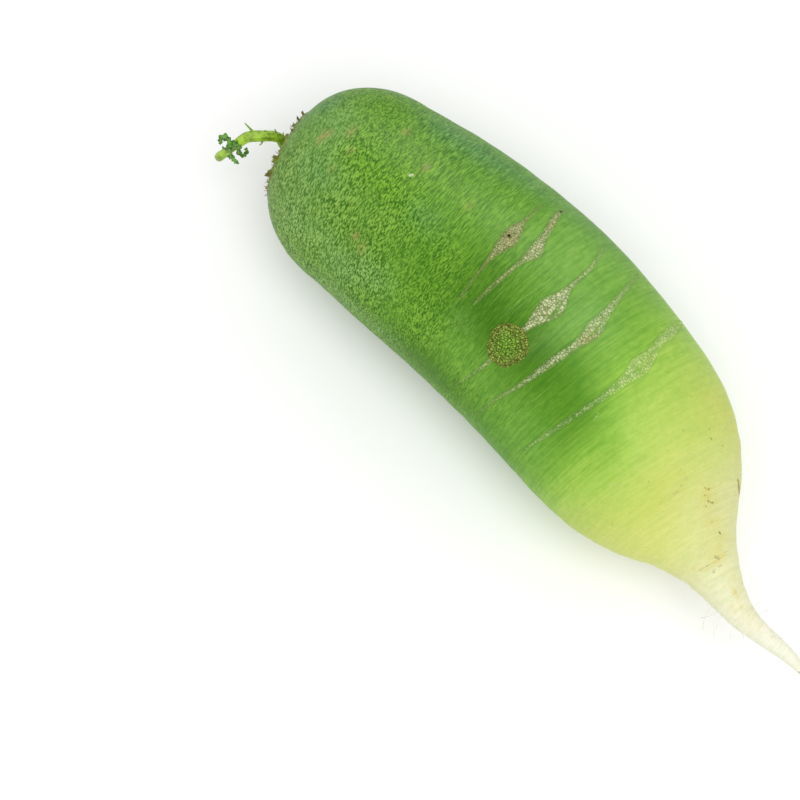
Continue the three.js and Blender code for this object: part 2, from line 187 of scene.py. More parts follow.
# Thin scratches and dashes: (angle, distance) of both ends, half width, and how brown each one is.
NICKS = (
    ((112, 149), (108, 147.6), 0.2, 0.0),
    ((128, 168), (122, 170), 0.2, 0.15),
    ((76, 184.4), (71.5, 185.6), 0.26, 0.9),
    ((78, 186.2), (74, 187.2), 0.2, 0.7),
    ((75, 188.4), (69, 189.8), 0.3, 1.0),
    ((79, 189.2), (76.5, 189.8), 0.2, 0.7),
    ((78, 193.8), (75, 194.4), 0.24, 0.5),
    ((70, 197.6), (65, 198.9), 0.28, 1.0),
    ((88, 203.8), (82, 205), 0.45, 0.5),
    ((146, 204.2), (116, 205.3), 0.14, 0.4),
    ((116, 205.3), (84, 204.6), 0.2, 0.5),
    ((80, 204.4), (44, 203.8), 0.12, 0.4),
    ((138, 206.2), (98, 207), 0.12, 0.35),
    ((104, 208), (76, 206.6), 0.25, 0.45),
    ((98, 182), (84, 179), 0.3, 0.4),
    ((118, 186), (96, 181), 0.22, 0.3),
    ((60, 172), (58, 173), 0.3, 0.9),
    ((32, 186.4), (26, 187.8), 0.55, 1.0),
    ((28, 188), (14, 190.4), 0.8, 1.0),
    ((252, 203), (248, 205), 0.6, 0.6),
    ((261, 170), (255, 172), 0.6, 0.6),
)

# Thin pale hairlines beside the scars, in the scars' form.
HAIRLINES = (
    ((122, 103.5, 0.05), (114, 101.9, 0.16), (95, 103, 0.17), (84, 104.2, 0.14), (66, 104.4, 0.05)),
    ((120, 105.2, 0.05), (110, 103.6, 0.13), (92, 104.8, 0.12), (80, 105.6, 0.05)),
    ((130, 88.3, 0.05), (124, 86.9, 0.15), (114, 87.6, 0.13), (106, 88.8, 0.05)),
    ((134, 83.2, 0.05), (128, 81.8, 0.14), (112, 82.2, 0.05)),
    ((128, 97.6, 0.05), (108, 96.2, 0.13), (88, 97.6, 0.05)),
    ((112, 120.6, 0.05), (90, 119, 0.13), (66, 119.4, 0.05)),
    ((96, 131, 0.05), (78, 131.8, 0.12), (52, 128.6, 0.05)),
    ((140, 150.6, 0.05), (112, 152.4, 0.13), (84, 150.8, 0.05)),
    ((150, 128.4, 0.05), (128, 130.2, 0.12), (110, 131.4, 0.05)),
    ((112, 17, 0.05), (100, 16.2, 0.14), (88, 16.4, 0.05)),
    ((84, 24, 0.05), (72, 23.4, 0.13), (60, 24, 0.05)),
    ((120, 30, 0.05), (108, 29, 0.13), (98, 29.4, 0.05)),
    ((100, 36.5, 0.05), (88, 36, 0.12), (76, 36.6, 0.05)),
    ((132, 26, 0.05), (124, 24.6, 0.14), (114, 24.2, 0.05)),
    ((74, 15, 0.05), (66, 14.4, 0.13), (56, 15, 0.05)),
    ((288, 104, 0.05), (262, 106, 0.15), (238, 104.6, 0.05)),
    ((322, 121, 0.05), (298, 123, 0.15), (270, 121.4, 0.05)),
)

# Soft patches in the skin: angle, distance from the crown, half length along the root, half width
# round it, and strength.
PATCHES = {
    # Dark patches: deeper green of the skin, except the one at 167 degrees, which is painted shade along the
    # lower flank.
    "dark": (
        (118, 106, 30, 12, 0.95), (167, 90, 24, 9, 0.7), (96, 90, 9, 9, 0.35), (128, 146, 8, 12, 0.22),
        (106, 120, 5, 6, 0.35), (138, 120, 5, 6, 0.3), (131, 44, 6, 5, 0.25),
        (44, 127, 7, 9, 0.18), (262, 112, 30, 16, 0.7), (318, 84, 22, 12, 0.5), (222, 60, 18, 14, 0.4),
    ),
    "light": (
        (58, 105, 22, 17, 0.95), (88, 121, 5, 12, 0.5), (92, 15, 7, 10, 0.35), (142, 108, 22, 9, 0.45),
        (150, 138, 14, 14, 0.4), (292, 124, 20, 15, 0.7), (212, 118, 22, 12, 0.5), (345, 104, 26, 12, 0.5),
    ),
    "grey": (
        (127, 17.6, 6, 8, 0.3), (148, 20, 8, 6, 0.5), (150, 44, 8, 7, 0.6), (141, 57, 9, 6, 0.5),
        (88, 15, 8, 12, 0.7), (128, 92, 5, 5, 0.25), (141, 30, 10, 5, 0.3), (172, 60, 26, 5, 0.4),
        (104, 117.5, 4, 8, 0.25), (232, 32, 12, 10, 0.6), (300, 48, 14, 10, 0.6), (335, 22, 8, 9, 0.5),
        (262, 74, 12, 9, 0.5),
    ),
    # Painted sheen: bluish patches on the upper flank that stand for the sky's reflection at a grazing
    # angle.
    "painted_blue_sheen": (
        (65, 7, 5, 8, 0.6), (48, 58, 17, 8, 0.65), (46, 42, 9, 8, 0.3), (40, 82, 16, 7, 0.3),
        (112, 20, 8, 5, 0.35), (100, 60, 8, 5, 0.35), (310, 66, 18, 12, 0.5), (236, 88, 12, 10, 0.4),
    ),
    "tan": (
        (94, 13.8, 1.1, 2.2, 1.0), (90, 15.4, 1, 1.6, 1.0), (83.5, 21.6, 1.2, 2.4, 0.75),
        (65.5, 36, 1, 1.5, 1.0), (93, 25.7, 0.9, 1.4, 0.6), (129.5, 43.4, 0.9, 1.5, 1.0),
        (79, 49.2, 1, 2, 0.7), (133, 47.5, 1.4, 2.4, 0.5), (82, 68.5, 1, 1.8, 0.4), (108, 23.7, 1.2, 2, 0.3),
        (204, 36, 1.6, 3, 0.6), (286, 30, 1.5, 2.4, 0.6), (330, 58, 1.6, 3, 0.5), (252, 52, 1.4, 2.2, 0.5),
    ),
    "burnt": ((81.8, 84.8, 0.75, 0.95, 1.0), (46.5, 89.2, 0.8, 1.5, 0.8)),
    "rust": (
        (90, 126.4, 1.8, 3.4, 0.7), (83, 85.6, 2.6, 2.6, 0.35), (60, 90.8, 1.2, 4, 0.35),
        (96, 111, 2.4, 2.2, 0.2),
    ),
    "white": (
        (84.5, 45.2, 0.45, 0.9, 0.9), (87, 47.2, 0.4, 0.7, 0.9), (85.5, 46.3, 0.3, 0.5, 0.7),
        (78, 49.2, 0.9, 1.3, 0.45), (76.5, 50.5, 0.5, 0.7, 0.5), (94, 64.4, 0.3, 0.7, 0.6),
        (300, 70, 0.5, 0.9, 0.8), (240, 44, 0.5, 0.8, 0.8),
    ),
    "ochre": (
        (74, 187, 5, 4, 0.6), (76, 194.6, 2, 3, 0.7), (52, 163, 8, 8, 0.22), (38, 162, 12, 8, 0.18),
        (30, 172, 9, 7, 0.35), (84, 204.4, 2, 3, 1.0), (118, 205.2, 1.2, 5, 0.7), (72, 200, 3, 5, 0.5),
        (98, 179, 7, 9, 0.3), (70, 226, 7, 5, 0.35), (17, 188, 3, 3, 0.9), (250, 188, 8, 10, 0.5),
        (290, 176, 8, 9, 0.35), (225, 206, 5, 5, 0.5), (320, 198, 6, 6, 0.4), (60, 214, 6, 4, 0.3),
        (113, 220.5, 1.2, 0.9, 0.8), (88, 221.6, 0.8, 0.8, 0.7), (80, 216.5, 2.2, 1, 0.7),
    ),
    "lime": ((140, 191, 12, 24, 0.5), (205, 180, 14, 18, 0.3)),
    "milk": ((56, 193, 13, 18, 0.45), (300, 190, 14, 16, 0.3)),
    # Painted sheen: a pale band along the top of the body that stands for the soft light's highlight.
    "painted_sheen": ((75, 40, 24, 9, 1.0), (79, 82, 26, 9, 0.95), (84, 122, 16, 10, 0.85)),
}

# Where the green gives way: the distance from the crown of the bright yellow-green, at angles round
# the root. From there it pales evenly to the foot of the tail.
GREEN_LINE = (
    (0, 143), (20, 143.5), (35, 145.5), (50, 146), (65, 149), (80, 150.5), (95, 155.5), (110, 163),
    (125, 164.5), (140, 164), (155, 163.5), (170, 163), (200, 160), (240, 153), (280, 149), (320, 145),
    (360, 143),
)
TAIL_FOOT = 195.0
GREEN_TO_FOOT = 40.0

# Hair roots: angle, distance from the crown, how many, and their length.
HAIR_ROOTS = (
    (196, 217, 3, 8.0), (188, 222, 2, 5.0), (20, 226, 2, 5.0), (265, 224, 4, 7.0), (80, 236, 2, 4.0),
    (250, 243, 3, 5.0),
)
HAIR_THICKNESS = (0.06, 0.1)
HAIR_DROOP = 0.35
HAIR_WAVE = 0.12
HAIR_STEPS = np.linspace(-0.1, 1, 7)

# The young leaf, as in the part's source: paths in mm from the crown's middle, +Z from the floor.
STALK_START = 1.3
GAP = 0.3
STALK_PATH = ((-4.6, -1.3, 39.2), (-6.7, -3.3, 41.9), (-9, -6.8, 44), (-11.9, -10.6, 44.5),
              (-13.2, -14.2, 43), (-15.3, -17.6, 38.4), (-17.6, -20.6, 33.4))
STALK_RADII = ((0, PIT_RADIUS - GAP), (0.1, 1.6), (0.3, 1.8), (0.5, 1.9), (0.7, 1.6), (0.85, 1.4),
               (0.95, 1.6), (1, 1.5))
STALK_RIBS = 7
RIB_DEPTH = 0.07
SPURS = (
    (((-5.6, -2.4, 41), (-4, -3.1, 39.4), (-2.8, -3.3, 37.6)), (1.1, 0.7)),
    (((-10.2, -8, 44.2), (-12.4, -8.2, 46), (-15.1, -8.6, 48)), (0.6, 0.22)),
    (((-5, -2.2, 40.4), (-6.5, -2, 42.6), (-7.7, -1.8, 44)), (0.6, 0.2)),
    (((-6.9, -4.3, 42.4), (-8.6, -4.3, 44), (-9.4, -5, 45.4)), (0.5, 0.2)),
    (((-8.8, -6.4, 43.2), (-8.2, -7.8, 41), (-8.7, -8.5, 39.6)), (0.5, 0.2)),
    (((-4.4, -2, 40.4), (-4.4, -1.2, 42.4), (-4.7, -0.6, 44.2)), (0.5, 0.2)),
    (((-2, -1.2, 38.8), (-2.6, 0.2, 40.8), (-3.2, 1.1, 42.6)), (0.7, 0.25)),
    (((-1.6, -0.4, 38.4), (-2.2, 1.8, 39.6), (-2.4, 3.2, 40.8)), (0.6, 0.2)),
)
LEAFLETS = (
    (((-13, -13.8, 42.6), (-14.8, -15.9, 44.2), (-17, -16.1, 45), (-18.3, -17.1, 44), (-17.7, -18.6, 42)),
     (1.4, 2.5, 1.0), (0.4, -0.7, 0.6)),
    (((-12.6, -12.6, 43.6), (-12.6, -15.8, 44.6), (-14.3, -17.8, 41.6), (-17, -18.3, 38.6)),
     (1.5, 3.1, 1.4), (0.5, 0.5, 0.7)),
    (((-12.7, -13, 42.6), (-11.4, -15.8, 41.6), (-9.9, -15.6, 40), (-10.1, -13.3, 39), (-11.6, -12.8, 38.6)),
     (1.4, 1.6, 0.8), (0.3, 0.2, 0.9)),
    (((-15, -17, 39.4), (-13.4, -17.9, 37.2), (-10.4, -17.5, 35)), (1.5, 1.9, 0.7), (0.2, -0.5, 0.8)),
)
LEAFLET_STEPS = 60
LEAFLET_ACROSS = 12
LEAFLET_TEETH = 7
LEAFLET_TOOTH = 0.3
LEAFLET_WAVE = 0.4

# On the stage a surface looks brighter than its own colour by the light's gain, and gets a little
# sheen from the sky on top.
STAGE_GAIN = 1.2
STAGE_SHEEN = 0.012

# The camera looks at a point beside the root, in metres, so that the root fills the frame as pictured.
CAMERA_TARGET = Vector((-0.0251, -0.0494, AXIS_HEIGHT * MM))
CAMERA_DISTANCE = 0.6338
CAMERA_NEAR = 0.01
FLOOR_HALF = 12.0

# The soft lights: name, azimuth, elevation, distance and size in metres, and power in watts.
SOFTBOXES = (("key_softbox", 66, 70, 1.0, 0.7, 3.2), ("top_softbox", 20, 80, 1.2, 0.9, 1.6))


def tint(red, green, blue):
    """The surface colour that looks like the given screen colour, 0 to 255, under the stage's light."""
    channels = np.array([red, green, blue]) / 255
    linear = np.where(channels <= 0.04045, channels / 12.92, ((channels + 0.055) / 1.055) ** 2.4)
    return tuple(float(value) for value in np.maximum(linear - STAGE_SHEEN, 0.002) / STAGE_GAIN)


def colour(name, description, *screen):
    """A colour property with a default given as it looks on a screen."""
    return bpy.props.FloatVectorProperty(
        name=name, description=description, default=tint(*screen), size=3, subtype="COLOR", min=0, max=1)


def length(name, description, millimetres, low, high):
    """A length property in metres, with a default and limits given in millimetres."""
    return bpy.props.FloatProperty(
        name=name, description=description, default=millimetres * MM, min=low * MM, max=high * MM,
        unit="LENGTH", precision=5)


class SkinLook(bpy.types.PropertyGroup):
    """The root's colours, from the crown to the tail, and its fine grain."""

    crown: colour("Crown", "Green of the shoulder round the crown", 111, 156, 72)
    upper: colour("Upper body", "Green of the flecked upper body", 99, 152, 50)
    middle: colour("Middle", "Deeper green between the scars", 100, 157, 48)
    fresh: colour("Fresh green", "Bright green where the body starts to pale", 143, 192, 74)
    yellow: colour("Yellow-green", "Yellow-green after the fresh green", 170, 207, 92)
    pale: colour("Pale", "Pale green of the lower body", 201, 217, 115)
    cream: colour("Cream", "Cream at the foot of the tail", 225, 229, 157)
    tail: colour("Tail", "Near-white of the tail", 246, 246, 224)
    # Also the colour of the painted shade along the lower flank.
    deep: colour("Deep green", "Darkest green beside the scars", 66, 114, 32)
    light: colour("Light green", "Lighter green of the sunny side", 128, 180, 80)
    grey: colour("Grey sheen", "Greyish sheen over the green", 128, 168, 100)
    # A painted reflection: the bluish sheen of the sky on the upper flank.
    painted_blue_sheen: colour("Teal", "Bluish bloom over the green", 96, 150, 88)
    tan: colour("Tan", "Dry tan blotches", 174, 160, 102)
    cork: colour("Cork", "Dry cork of old leaf bases and plugs", 112, 90, 48)
    net: colour("Scar cells", "Pale cells of the side-root scars", 214, 221, 178)
    seam: colour("Scar seams", "Darker seams between the scars' cells", 106, 104, 54)
    crust: colour("Crust", "Rusty crust of the round scar", 124, 120, 60)
    ochre: colour("Ochre", "Stains in the pale part", 216, 198, 92)
    lime: colour("Lime", "Yellower green low on the pale part", 214, 224, 102)
    milk: colour("Milk", "Whiter skin high on the pale part", 222, 222, 172)
    # A painted highlight: the pale sheen of the light along the top of the body.
    painted_sheen: colour("Painted sheen", "Thin pale bloom along the top of the body", 224, 250, 204)
    fleck: length("Fleck width", "Width of the fine flecks along the root", 0.42, 0.2, 2)


class CrownLook(bpy.types.PropertyGroup):
    """The colours of the crown and of the torn stubs round it."""

    ridge: colour("Crescent ridge", "Fresh green of the leaf-base ridges", 138, 184, 72)
    groove: colour("Groove", "Dark grooves between the ridges", 70, 90, 38)
    stub: colour("Stub", "Green at the foot of a torn stub", 134, 156, 50)
    dry: colour("Dry tip", "Brown tip of a torn stub", 98, 84, 44)


class LeafLook(bpy.types.PropertyGroup):
    """The young leaf's colours and its thickness."""

    stalk: colour("Stalk", "Yellow-green of the stalk", 166, 206, 62)
    blade: colour("Leaflet", "Dark green of the curled leaflets", 76, 132, 54)
    cut: colour("Broken end", "Pale flesh at the broken tip", 160, 184, 96)
    thickness: length("Leaflet thickness", "Thickness of a leaflet at its middle", 0.45, 0.2, 1.5)


class StageLook(bpy.types.PropertyGroup):
    """The floor, the lights and the camera."""

    floor: bpy.props.FloatVectorProperty(
        name="Floor", description="Plain pale floor", default=(0.93, 0.93, 0.93), size=3,
        subtype="COLOR", min=0, max=1)
    world: bpy.props.FloatProperty(
        name="Sky strength", description="Even light from all round", default=0.86, min=0, max=5)
    azimuth: bpy.props.FloatProperty(
        name="Azimuth", description="The camera's turn round the root", default=math.radians(45.5),
        subtype="ANGLE")
    elevation: bpy.props.FloatProperty(
        name="Elevation", description="The camera's height above level", default=math.radians(75),
        subtype="ANGLE")
    lens: bpy.props.FloatProperty(
        name="Lens", description="Focal length in millimetres", default=85, min=20, max=300)


LOOKS = {"skin": SkinLook, "crown": CrownLook, "leaf": LeafLook, "stage": StageLook}


def look(name):
    """The scene's settings of one group."""
    return getattr(bpy.context.scene, f"radish_{name}")


def smooth(table, at):
    """A curve through a table's stations: on each stretch the cubic that meets both stations, with
    each station's slope taken between its two neighbours."""
    x, y = np.array(table, float).T
    slope = np.empty(len(x))
    slope[1:-1] = (y[2:] - y[:-2]) / (x[2:] - x[:-2])
    slope[0] = (y[1] - y[0]) / (x[1] - x[0])
    slope[-1] = (y[-1] - y[-2]) / (x[-1] - x[-2])
    at = np.asarray(at, float)
    k = np.clip(np.searchsorted(x, at, side="right") - 1, 0, len(x) - 2)
    h = x[k + 1] - x[k]
    t = np.clip((at - x[k]) / h, 0, 1)
    return ((1 + 2 * t) * (1 - t) ** 2 * y[k] + t * (1 - t) ** 2 * h * slope[k]
            + t * t * (3 - 2 * t) * y[k + 1] + t * t * (t - 1) * h * slope[k + 1])


def bump(distance, width):
    """A round hump: one in its middle, falling as the square of distance over width grows."""
    return np.exp(-((distance / width) ** 2))


def rise(low, high, value):
    """Nought below low, one above high, and an even S between them."""
    t = np.clip((value - low) / (high - low), 0, 1)
    return t * t * (3 - 2 * t)


def ripple(first, second, seed):
    """A soft random surface between about -1 and 1: the mean of sine waves in seeded directions."""
    draw = np.random.default_rng(seed)
    total = 0
    for _ in range(WAVE_COUNT):
        turn, phase = draw.uniform(0, 2 * math.pi, 2)
        pace = draw.uniform(*WAVE_PACE)
        total = total + np.sin(pace * (first * math.cos(turn) + second * math.sin(turn)) + phase)
    return total / math.sqrt(WAVE_COUNT)


def patches(table, s, radius, angle):
    """How strongly soft spots cover the skin: each falls away as the square of the distance from its
    middle, measured in its own half length and half width."""
    total = np.zeros_like(s)
    for degrees, distance, long, wide, strength in table:
        across = np.angle(np.exp(1j * (angle - math.radians(degrees)))) * radius
        total += strength * np.exp(-(((s - distance) / long) ** 2) - (across / wide) ** 2)
    return np.clip(total, 0, 1)


def axis_table():
    """The level axis: its heading added up in short steps from the crown, and also carried straight
    on ahead of the crown."""
    s = np.arange(0, ROOT_LENGTH + AXIS_STEP, AXIS_STEP)
    heading = np.radians(smooth(HEADINGS, s + AXIS_STEP / 2))[:-1]
    x, y = (np.concatenate([[0], np.cumsum(way * AXIS_STEP)]) for way in (np.cos(heading), np.sin(heading)))
    return s, x, y


AXIS = axis_table()


def on_root(s, radius, angle):
    """The point at distance s along the axis, at a radius and an angle round it: the axis point, plus
    the radius times the side way by the angle's cosine and the up way by its sine. What would reach
    below the floor is pressed flat on it."""
    heading = np.radians(smooth(HEADINGS, np.maximum(s, 0)))
    ahead = np.minimum(s, 0)
    x = np.interp(s, AXIS[0], AXIS[1]) + ahead * np.cos(heading)
    y = np.interp(s, AXIS[0], AXIS[2]) + ahead * np.sin(heading)
    aside = radius * np.cos(angle)
    z = AXIS_HEIGHT + radius * np.sin(angle)
    return np.stack([x - aside * np.sin(heading), y + aside * np.cos(heading), np.maximum(z, 0)], -1)


def crown_relief(radius, angle):
    """How far the crown's face stands out: a shallow dish, plus a crescent ridge for each leaf base,
    each turned from the last, plus the rim round them."""
    height = -CROWN_DISH * bump(radius, CROWN_RADIUS * DISH_WIDTH)
    ridges = np.zeros_like(height)
    for k in range(CRESCENT_COUNT):
        turn = angle - math.radians(k * CRESCENT_TURN)
        away = np.abs(np.arctan2(np.sin(turn), np.cos(turn))) / math.radians(CRESCENT_HALF_SPAN)
        wander = ripple(2.2 * np.cos(angle) + k, 2.2 * np.sin(angle), k)
        ring = CRESCENT_FIRST_RADIUS + k * CRESCENT_STEP + CRESCENT_WANDER * wander
        ridge = bump(radius - ring, CRESCENT_WIDTH * CRESCENT_SHARPNESS)
        ridges = ridges + np.maximum(0, 1 - away ** 3) * ridge
    ring, turn = from_ring(radius, angle)
    rim = CROWN_RIM_HEIGHT * bump(ring - CROWN_RIM_RADIUS, CROWN_RIM_WIDTH)
    ragged = ripple(ring * np.cos(turn) / RAGGED_GRAIN, ring * np.sin(turn) / RAGGED_GRAIN, 31)
    ragged = RAGGED_HEIGHT * ragged * bump(ring - CROWN_RIM_RADIUS, RAGGED_WIDTH)
    return height + CRESCENT_HEIGHT * ridges + rim + ragged, ridges


def from_ring(radius, angle):
    """Radius and angle round the torn ring's middle, of a point given round the axis."""
    aside = radius * np.cos(angle) - RING_ASIDE
    above = radius * np.sin(angle)
    return np.hypot(aside, above), np.arctan2(above, aside)


def shoulder_fall(radius):
    """How far the shoulder has fallen back from the crown's face at a radius."""
    share = np.maximum(0, radius - CROWN_RADIUS) / (RADII[0][1] - CROWN_RADIUS)
    return SHOULDER_LENGTH * (1 - (1 - share ** SHOULDER_FULLNESS) ** (1 / SHOULDER_FULLNESS))


def on_ring(height, out, turn, base, base_turn):
    """A point of the torn ring: at a height over the skin at its base, and out and turn round the
    ring's middle."""
    base_radius = np.hypot(RING_ASIDE + base * np.cos(base_turn), base * np.sin(base_turn))
    aside = RING_ASIDE + out * np.cos(turn)
    above = out * np.sin(turn)
    return on_root(shoulder_fall(base_radius) - height, np.hypot(aside, above), np.arctan2(above, aside))


def scar_field(scar, s, angle):
    """How deep inside one scar a point is, in mm: the scar's half width at that angle less the
    distance from its centre line. Past its ends it is less than nothing."""
    stations = sorted(scar)
    line = [(a, distance) for a, distance, _ in stations]
    halves = [(a, half) for a, _, half in stations]
    degrees = np.degrees(angle)
    inside = smooth(halves, degrees) - np.abs(s - smooth(line, degrees))
    past = np.maximum(0, np.maximum(line[0][0] - degrees, degrees - line[-1][0]))
    return inside - past * 0.35


def nick_field(nick, s, radius, angle):
    """How deep inside a short dash a point is, in mm: its half width less the distance from the
    straight line between its ends, measured on the unrolled skin."""
    (angle_a, start), (angle_b, end), half, _ = nick
    across = (angle - math.radians(angle_a)) * radius
    wide = math.radians(angle_b - angle_a) * radius
    tall = end - start
    t = np.clip((across * wide + (s - start) * tall) / (wide ** 2 + tall ** 2), 0, 1)
    return half - np.hypot(across - wide * t, s - start - tall * t)


def deepest(fields, values):
    """The deepest of several fields at each point, and the value that goes with that field."""
    best = np.full_like(fields[0], OUTSIDE)
    kept = np.zeros((*best.shape, *np.shape(values[0])))
    for field, value in zip(fields, values):
        kept[field > best] = value
        best = np.maximum(best, field)
    return best, kept


def root_rows():
    """The rows of the root's skin: distance along the axis and radius, from the pit for the leaf over
    the crown's face and the shoulder, a stretched circle's quarter, to the body and the tail's tip."""
    power = 2 / SHOULDER_FULLNESS
    face = np.linspace(PIT_RADIUS, CROWN_RADIUS, FACE_ROWS)
    phi = np.radians(np.concatenate([np.linspace(*rows) for rows in SHOULDER_ROWS]))
    shoulder_s = SHOULDER_LENGTH * (1 - np.cos(phi) ** power)
    shoulder_r = CROWN_RADIUS + (RADII[0][1] - CROWN_RADIUS) * np.sin(phi) ** power
    body = [np.linspace(*rows, endpoint=False) for rows in BODY_ROWS]
    body = np.concatenate([*body, np.linspace(*TAIL_ROWS)])
    s = np.concatenate([[PIT_DEPTH, PIT_DEPTH * 0.5], face * 0, shoulder_s, body])
    r = np.concatenate([[PIT_RADIUS, PIT_RADIUS], face, shoulder_r, smooth(RADII, body)])
    near_crown = np.arange(len(s)) < 2 + len(face) + len(phi)
    near_crown[:2] = False
    return s, r, near_crown


def root_skin():
    """The skin's points, row by row, and what its finish needs to know at each: the crown's relief
    is added along the axis, the scars' relief and a slow waviness away from it."""
    rows_s, rows_r, rows_crown = root_rows()
    turn = np.linspace(0, 2 * math.pi, AROUND, endpoint=False) - math.pi / 2
    turn = np.where(turn < 0, turn + 2 * math.pi, turn)
    s, angle = np.meshgrid(rows_s, turn, indexing="ij")
    r = np.repeat(rows_r[:, None], AROUND, 1)
    crown = np.repeat(rows_crown[:, None], AROUND, 1)
    aside, above = r * np.cos(angle), r * np.sin(angle)
    share = np.minimum(1, r / RADII[0][1]) ** 2
    swell = share * (SWELL_TWICE * np.cos(2 * angle + s / 60) + SWELL_THRICE * np.sin(3 * angle - s / 35))
    relief, ridges = crown_relief(r, angle)

    looks = tuple(zip(SCAR_TAN, SCAR_PALE, SCAR_CELLS)) + (FAR_SCAR_LOOK,) * len(FAR_SCARS)
    scars, scar_look = deepest([scar_field(scar, s, angle) for scar in SIDE_SCARS + FAR_SCARS], looks)
    slit = np.max([scar_field(scar, s, angle) for scar in SCAR_SLITS], axis=0)
    across = (angle - math.radians(ROUND_SCAR_ANGLE)) * r
    disc = ROUND_SCAR_RADIUS - np.hypot(across, s - ROUND_SCAR_DISTANCE)
    disc = disc + ROUND_SCAR_WOBBLE * ripple(across * 0.9, s * 0.9, 5)

    raised = SCAR_HEIGHT * rise(-0.2, 0.9, scars) * rise(0, SCAR_FULL_WIDTH, scars + 1.6)
    raised = np.maximum(raised, ROUND_SCAR_HEIGHT * rise(-0.4, 0.9, disc))
    raised = raised - SLIT_DEPTH * bump(slit, 0.4) * rise(-0.6, 0.2, slit)
    wavy = share * sum(height * ripple(s / long, above / high + aside / wide, seed)
                       for height, long, high, wide, seed in WAVINESS)
    folds = ripple(s / 1.5 + 1.2 * np.cos(angle), 2.0 * np.sin(angle), 4)
    folds = LOWER_FOLDS * rise(150, 175, s) * rise(0, 3, r - 4) * folds
    pushed = np.where(crown, wavy, raised + wavy + folds)
    inner = s - np.where(crown, relief, 0)
    inner[1] = -relief[2]
    points = on_root(inner, np.maximum(r + swell + pushed, THINNEST), angle)
    points[:2] = on_root(inner[:2], r[:2], angle[:2])

    fields = [nick_field(nick, s, r, angle) for nick in NICKS]
    nicks, brown = deepest(fields, [nick[-1] for nick in NICKS])
    arc = np.concatenate([[0], np.cumsum(np.hypot(np.diff(rows_s), np.diff(rows_r)))])
    line = smooth(GREEN_LINE, np.degrees(angle))
    marks = {
        "straight": np.stack([np.repeat(arc[:, None], AROUND, 1), aside, above], -1),
        "paling": (s - TAIL_FOOT) * np.where(s < TAIL_FOOT, GREEN_TO_FOOT / (TAIL_FOOT - line), 1),
        "scar": scars,
        "scar_look": scar_look,
        "slit": slit,
        "round_scar": disc,
        "nick": nicks,
        "nick_brown": brown,
        "hairline": np.max([scar_field(hair, s, angle) for hair in HAIRLINES], axis=0),
        "crown_radius": np.where(crown, from_ring(r, angle)[0], 60.0),
        "crown_ridge": ridges,
    }
    marks.update((name, patches(table, s, r, angle)) for name, table in PATCHES.items())
    return points, marks


def placed():
    """What moves the root's own axes to the frame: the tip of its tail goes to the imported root's end,
    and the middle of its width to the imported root's middle."""
    points, _ = ROOT_SKIN
    flat = points.reshape(-1, 3)
    low, high = np.array(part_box("root")) / MM
    aside = (low[1] + high[1] - flat[:, 1].min() - flat[:, 1].max()) / 2
    return np.array([high[0] - flat[:, 0].max(), aside, 0.0])


ROOT_SKIN = root_skin()
PLACE = placed()


def linked(name, data):
    """A new object in the scene."""
    thing = bpy.data.objects.new(name, data)
    bpy.context.scene.collection.objects.link(thing)
    return thing


def add_piece(name, points, faces, marks, material, slot):
    """A piece of the radish from points in mm and faces: it rides on the root and takes the given
    material as its finish; its slot is not used. Marks are values at each point that the finish reads."""
    mesh = bpy.data.meshes.new(name)
    mesh.from_pydata((np.asarray(points) + PLACE) * MM, [], faces)
    for mark, values in marks.items():
        kind = "FLOAT_VECTOR" if values.shape[-1:] == (3,) and values.ndim > 1 else "FLOAT"
        field = "vector" if kind == "FLOAT_VECTOR" else "value"
        attribute = mesh.attributes.new(mark, kind, "POINT")
        attribute.data.foreach_set(field, np.ascontiguousarray(values, dtype=np.float32).ravel())
    mesh.polygons.foreach_set("use_smooth", [True] * len(mesh.polygons))
    mesh.materials.append(material)
    mesh.update()
    if mesh.validate():
        raise RuntimeError(f"{name} has faces that are not valid")
    piece = linked(name, mesh)
    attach(piece, "root")
    return piece


def ring_faces(rows, around, first, last):
    """Quads between rows of a closed ring, and fans to the points first and last, facing outwards."""
    row, k = np.meshgrid(np.arange(rows - 1), np.arange(around), indexing="ij")
    a = row * around + k
    b = row * around + (k + 1) % around
    quads = np.stack([a, a + around, b + around, b], -1).reshape(-1, 4)
    k = np.arange(around)
    after = (k + 1) % around
    end = (rows - 1) * around
    head = np.stack([np.full(around, first), k, after], -1)
    tail = np.stack([np.full(around, last), end + after, end + k], -1)
    return quads.tolist() + head.tolist() + tail.tolist()


def path_frames(path, steps):
    """Even steps along a smooth path through the given points, with the way it runs and two ways
    square to it, carried along so that they don't twist."""
    path = np.array(path, float)
    reach = np.concatenate([[0], np.cumsum(np.linalg.norm(np.diff(path, axis=0), axis=1))])
    t = np.linspace(0, reach[-1], steps + 1)
    centre = np.stack([smooth(list(zip(reach, path[:, i])), t) for i in range(3)], -1)
    ahead = np.gradient(centre, axis=0)
    ahead = ahead / np.linalg.norm(ahead, axis=1, keepdims=True)
    side = np.empty_like(ahead)
    helper = np.array([0.0, 0.0, 1.0]) if abs(ahead[0, 2]) < 0.9 else np.array([1.0, 0.0, 0.0])
    side[0] = np.cross(ahead[0], helper)
    for i in range(1, len(side)):
        side[i] = side[i - 1] - ahead[i] * np.dot(side[i - 1], ahead[i])
        side[i] = side[i] / np.linalg.norm(side[i])
    side[0] = side[0] / np.linalg.norm(side[0])
    return centre, ahead, side, np.cross(ahead, side)


# Smaller rings on a tube's flat end, as shares of its radius, which keep the end flat.
TIP_RINGS = (0.96, 0.9, 0.5)


def tapered(path, thick, thin, grid):
    """A tube that goes evenly from one radius to another."""
    return tube(path, ((0, thick), (1, thin)), grid)


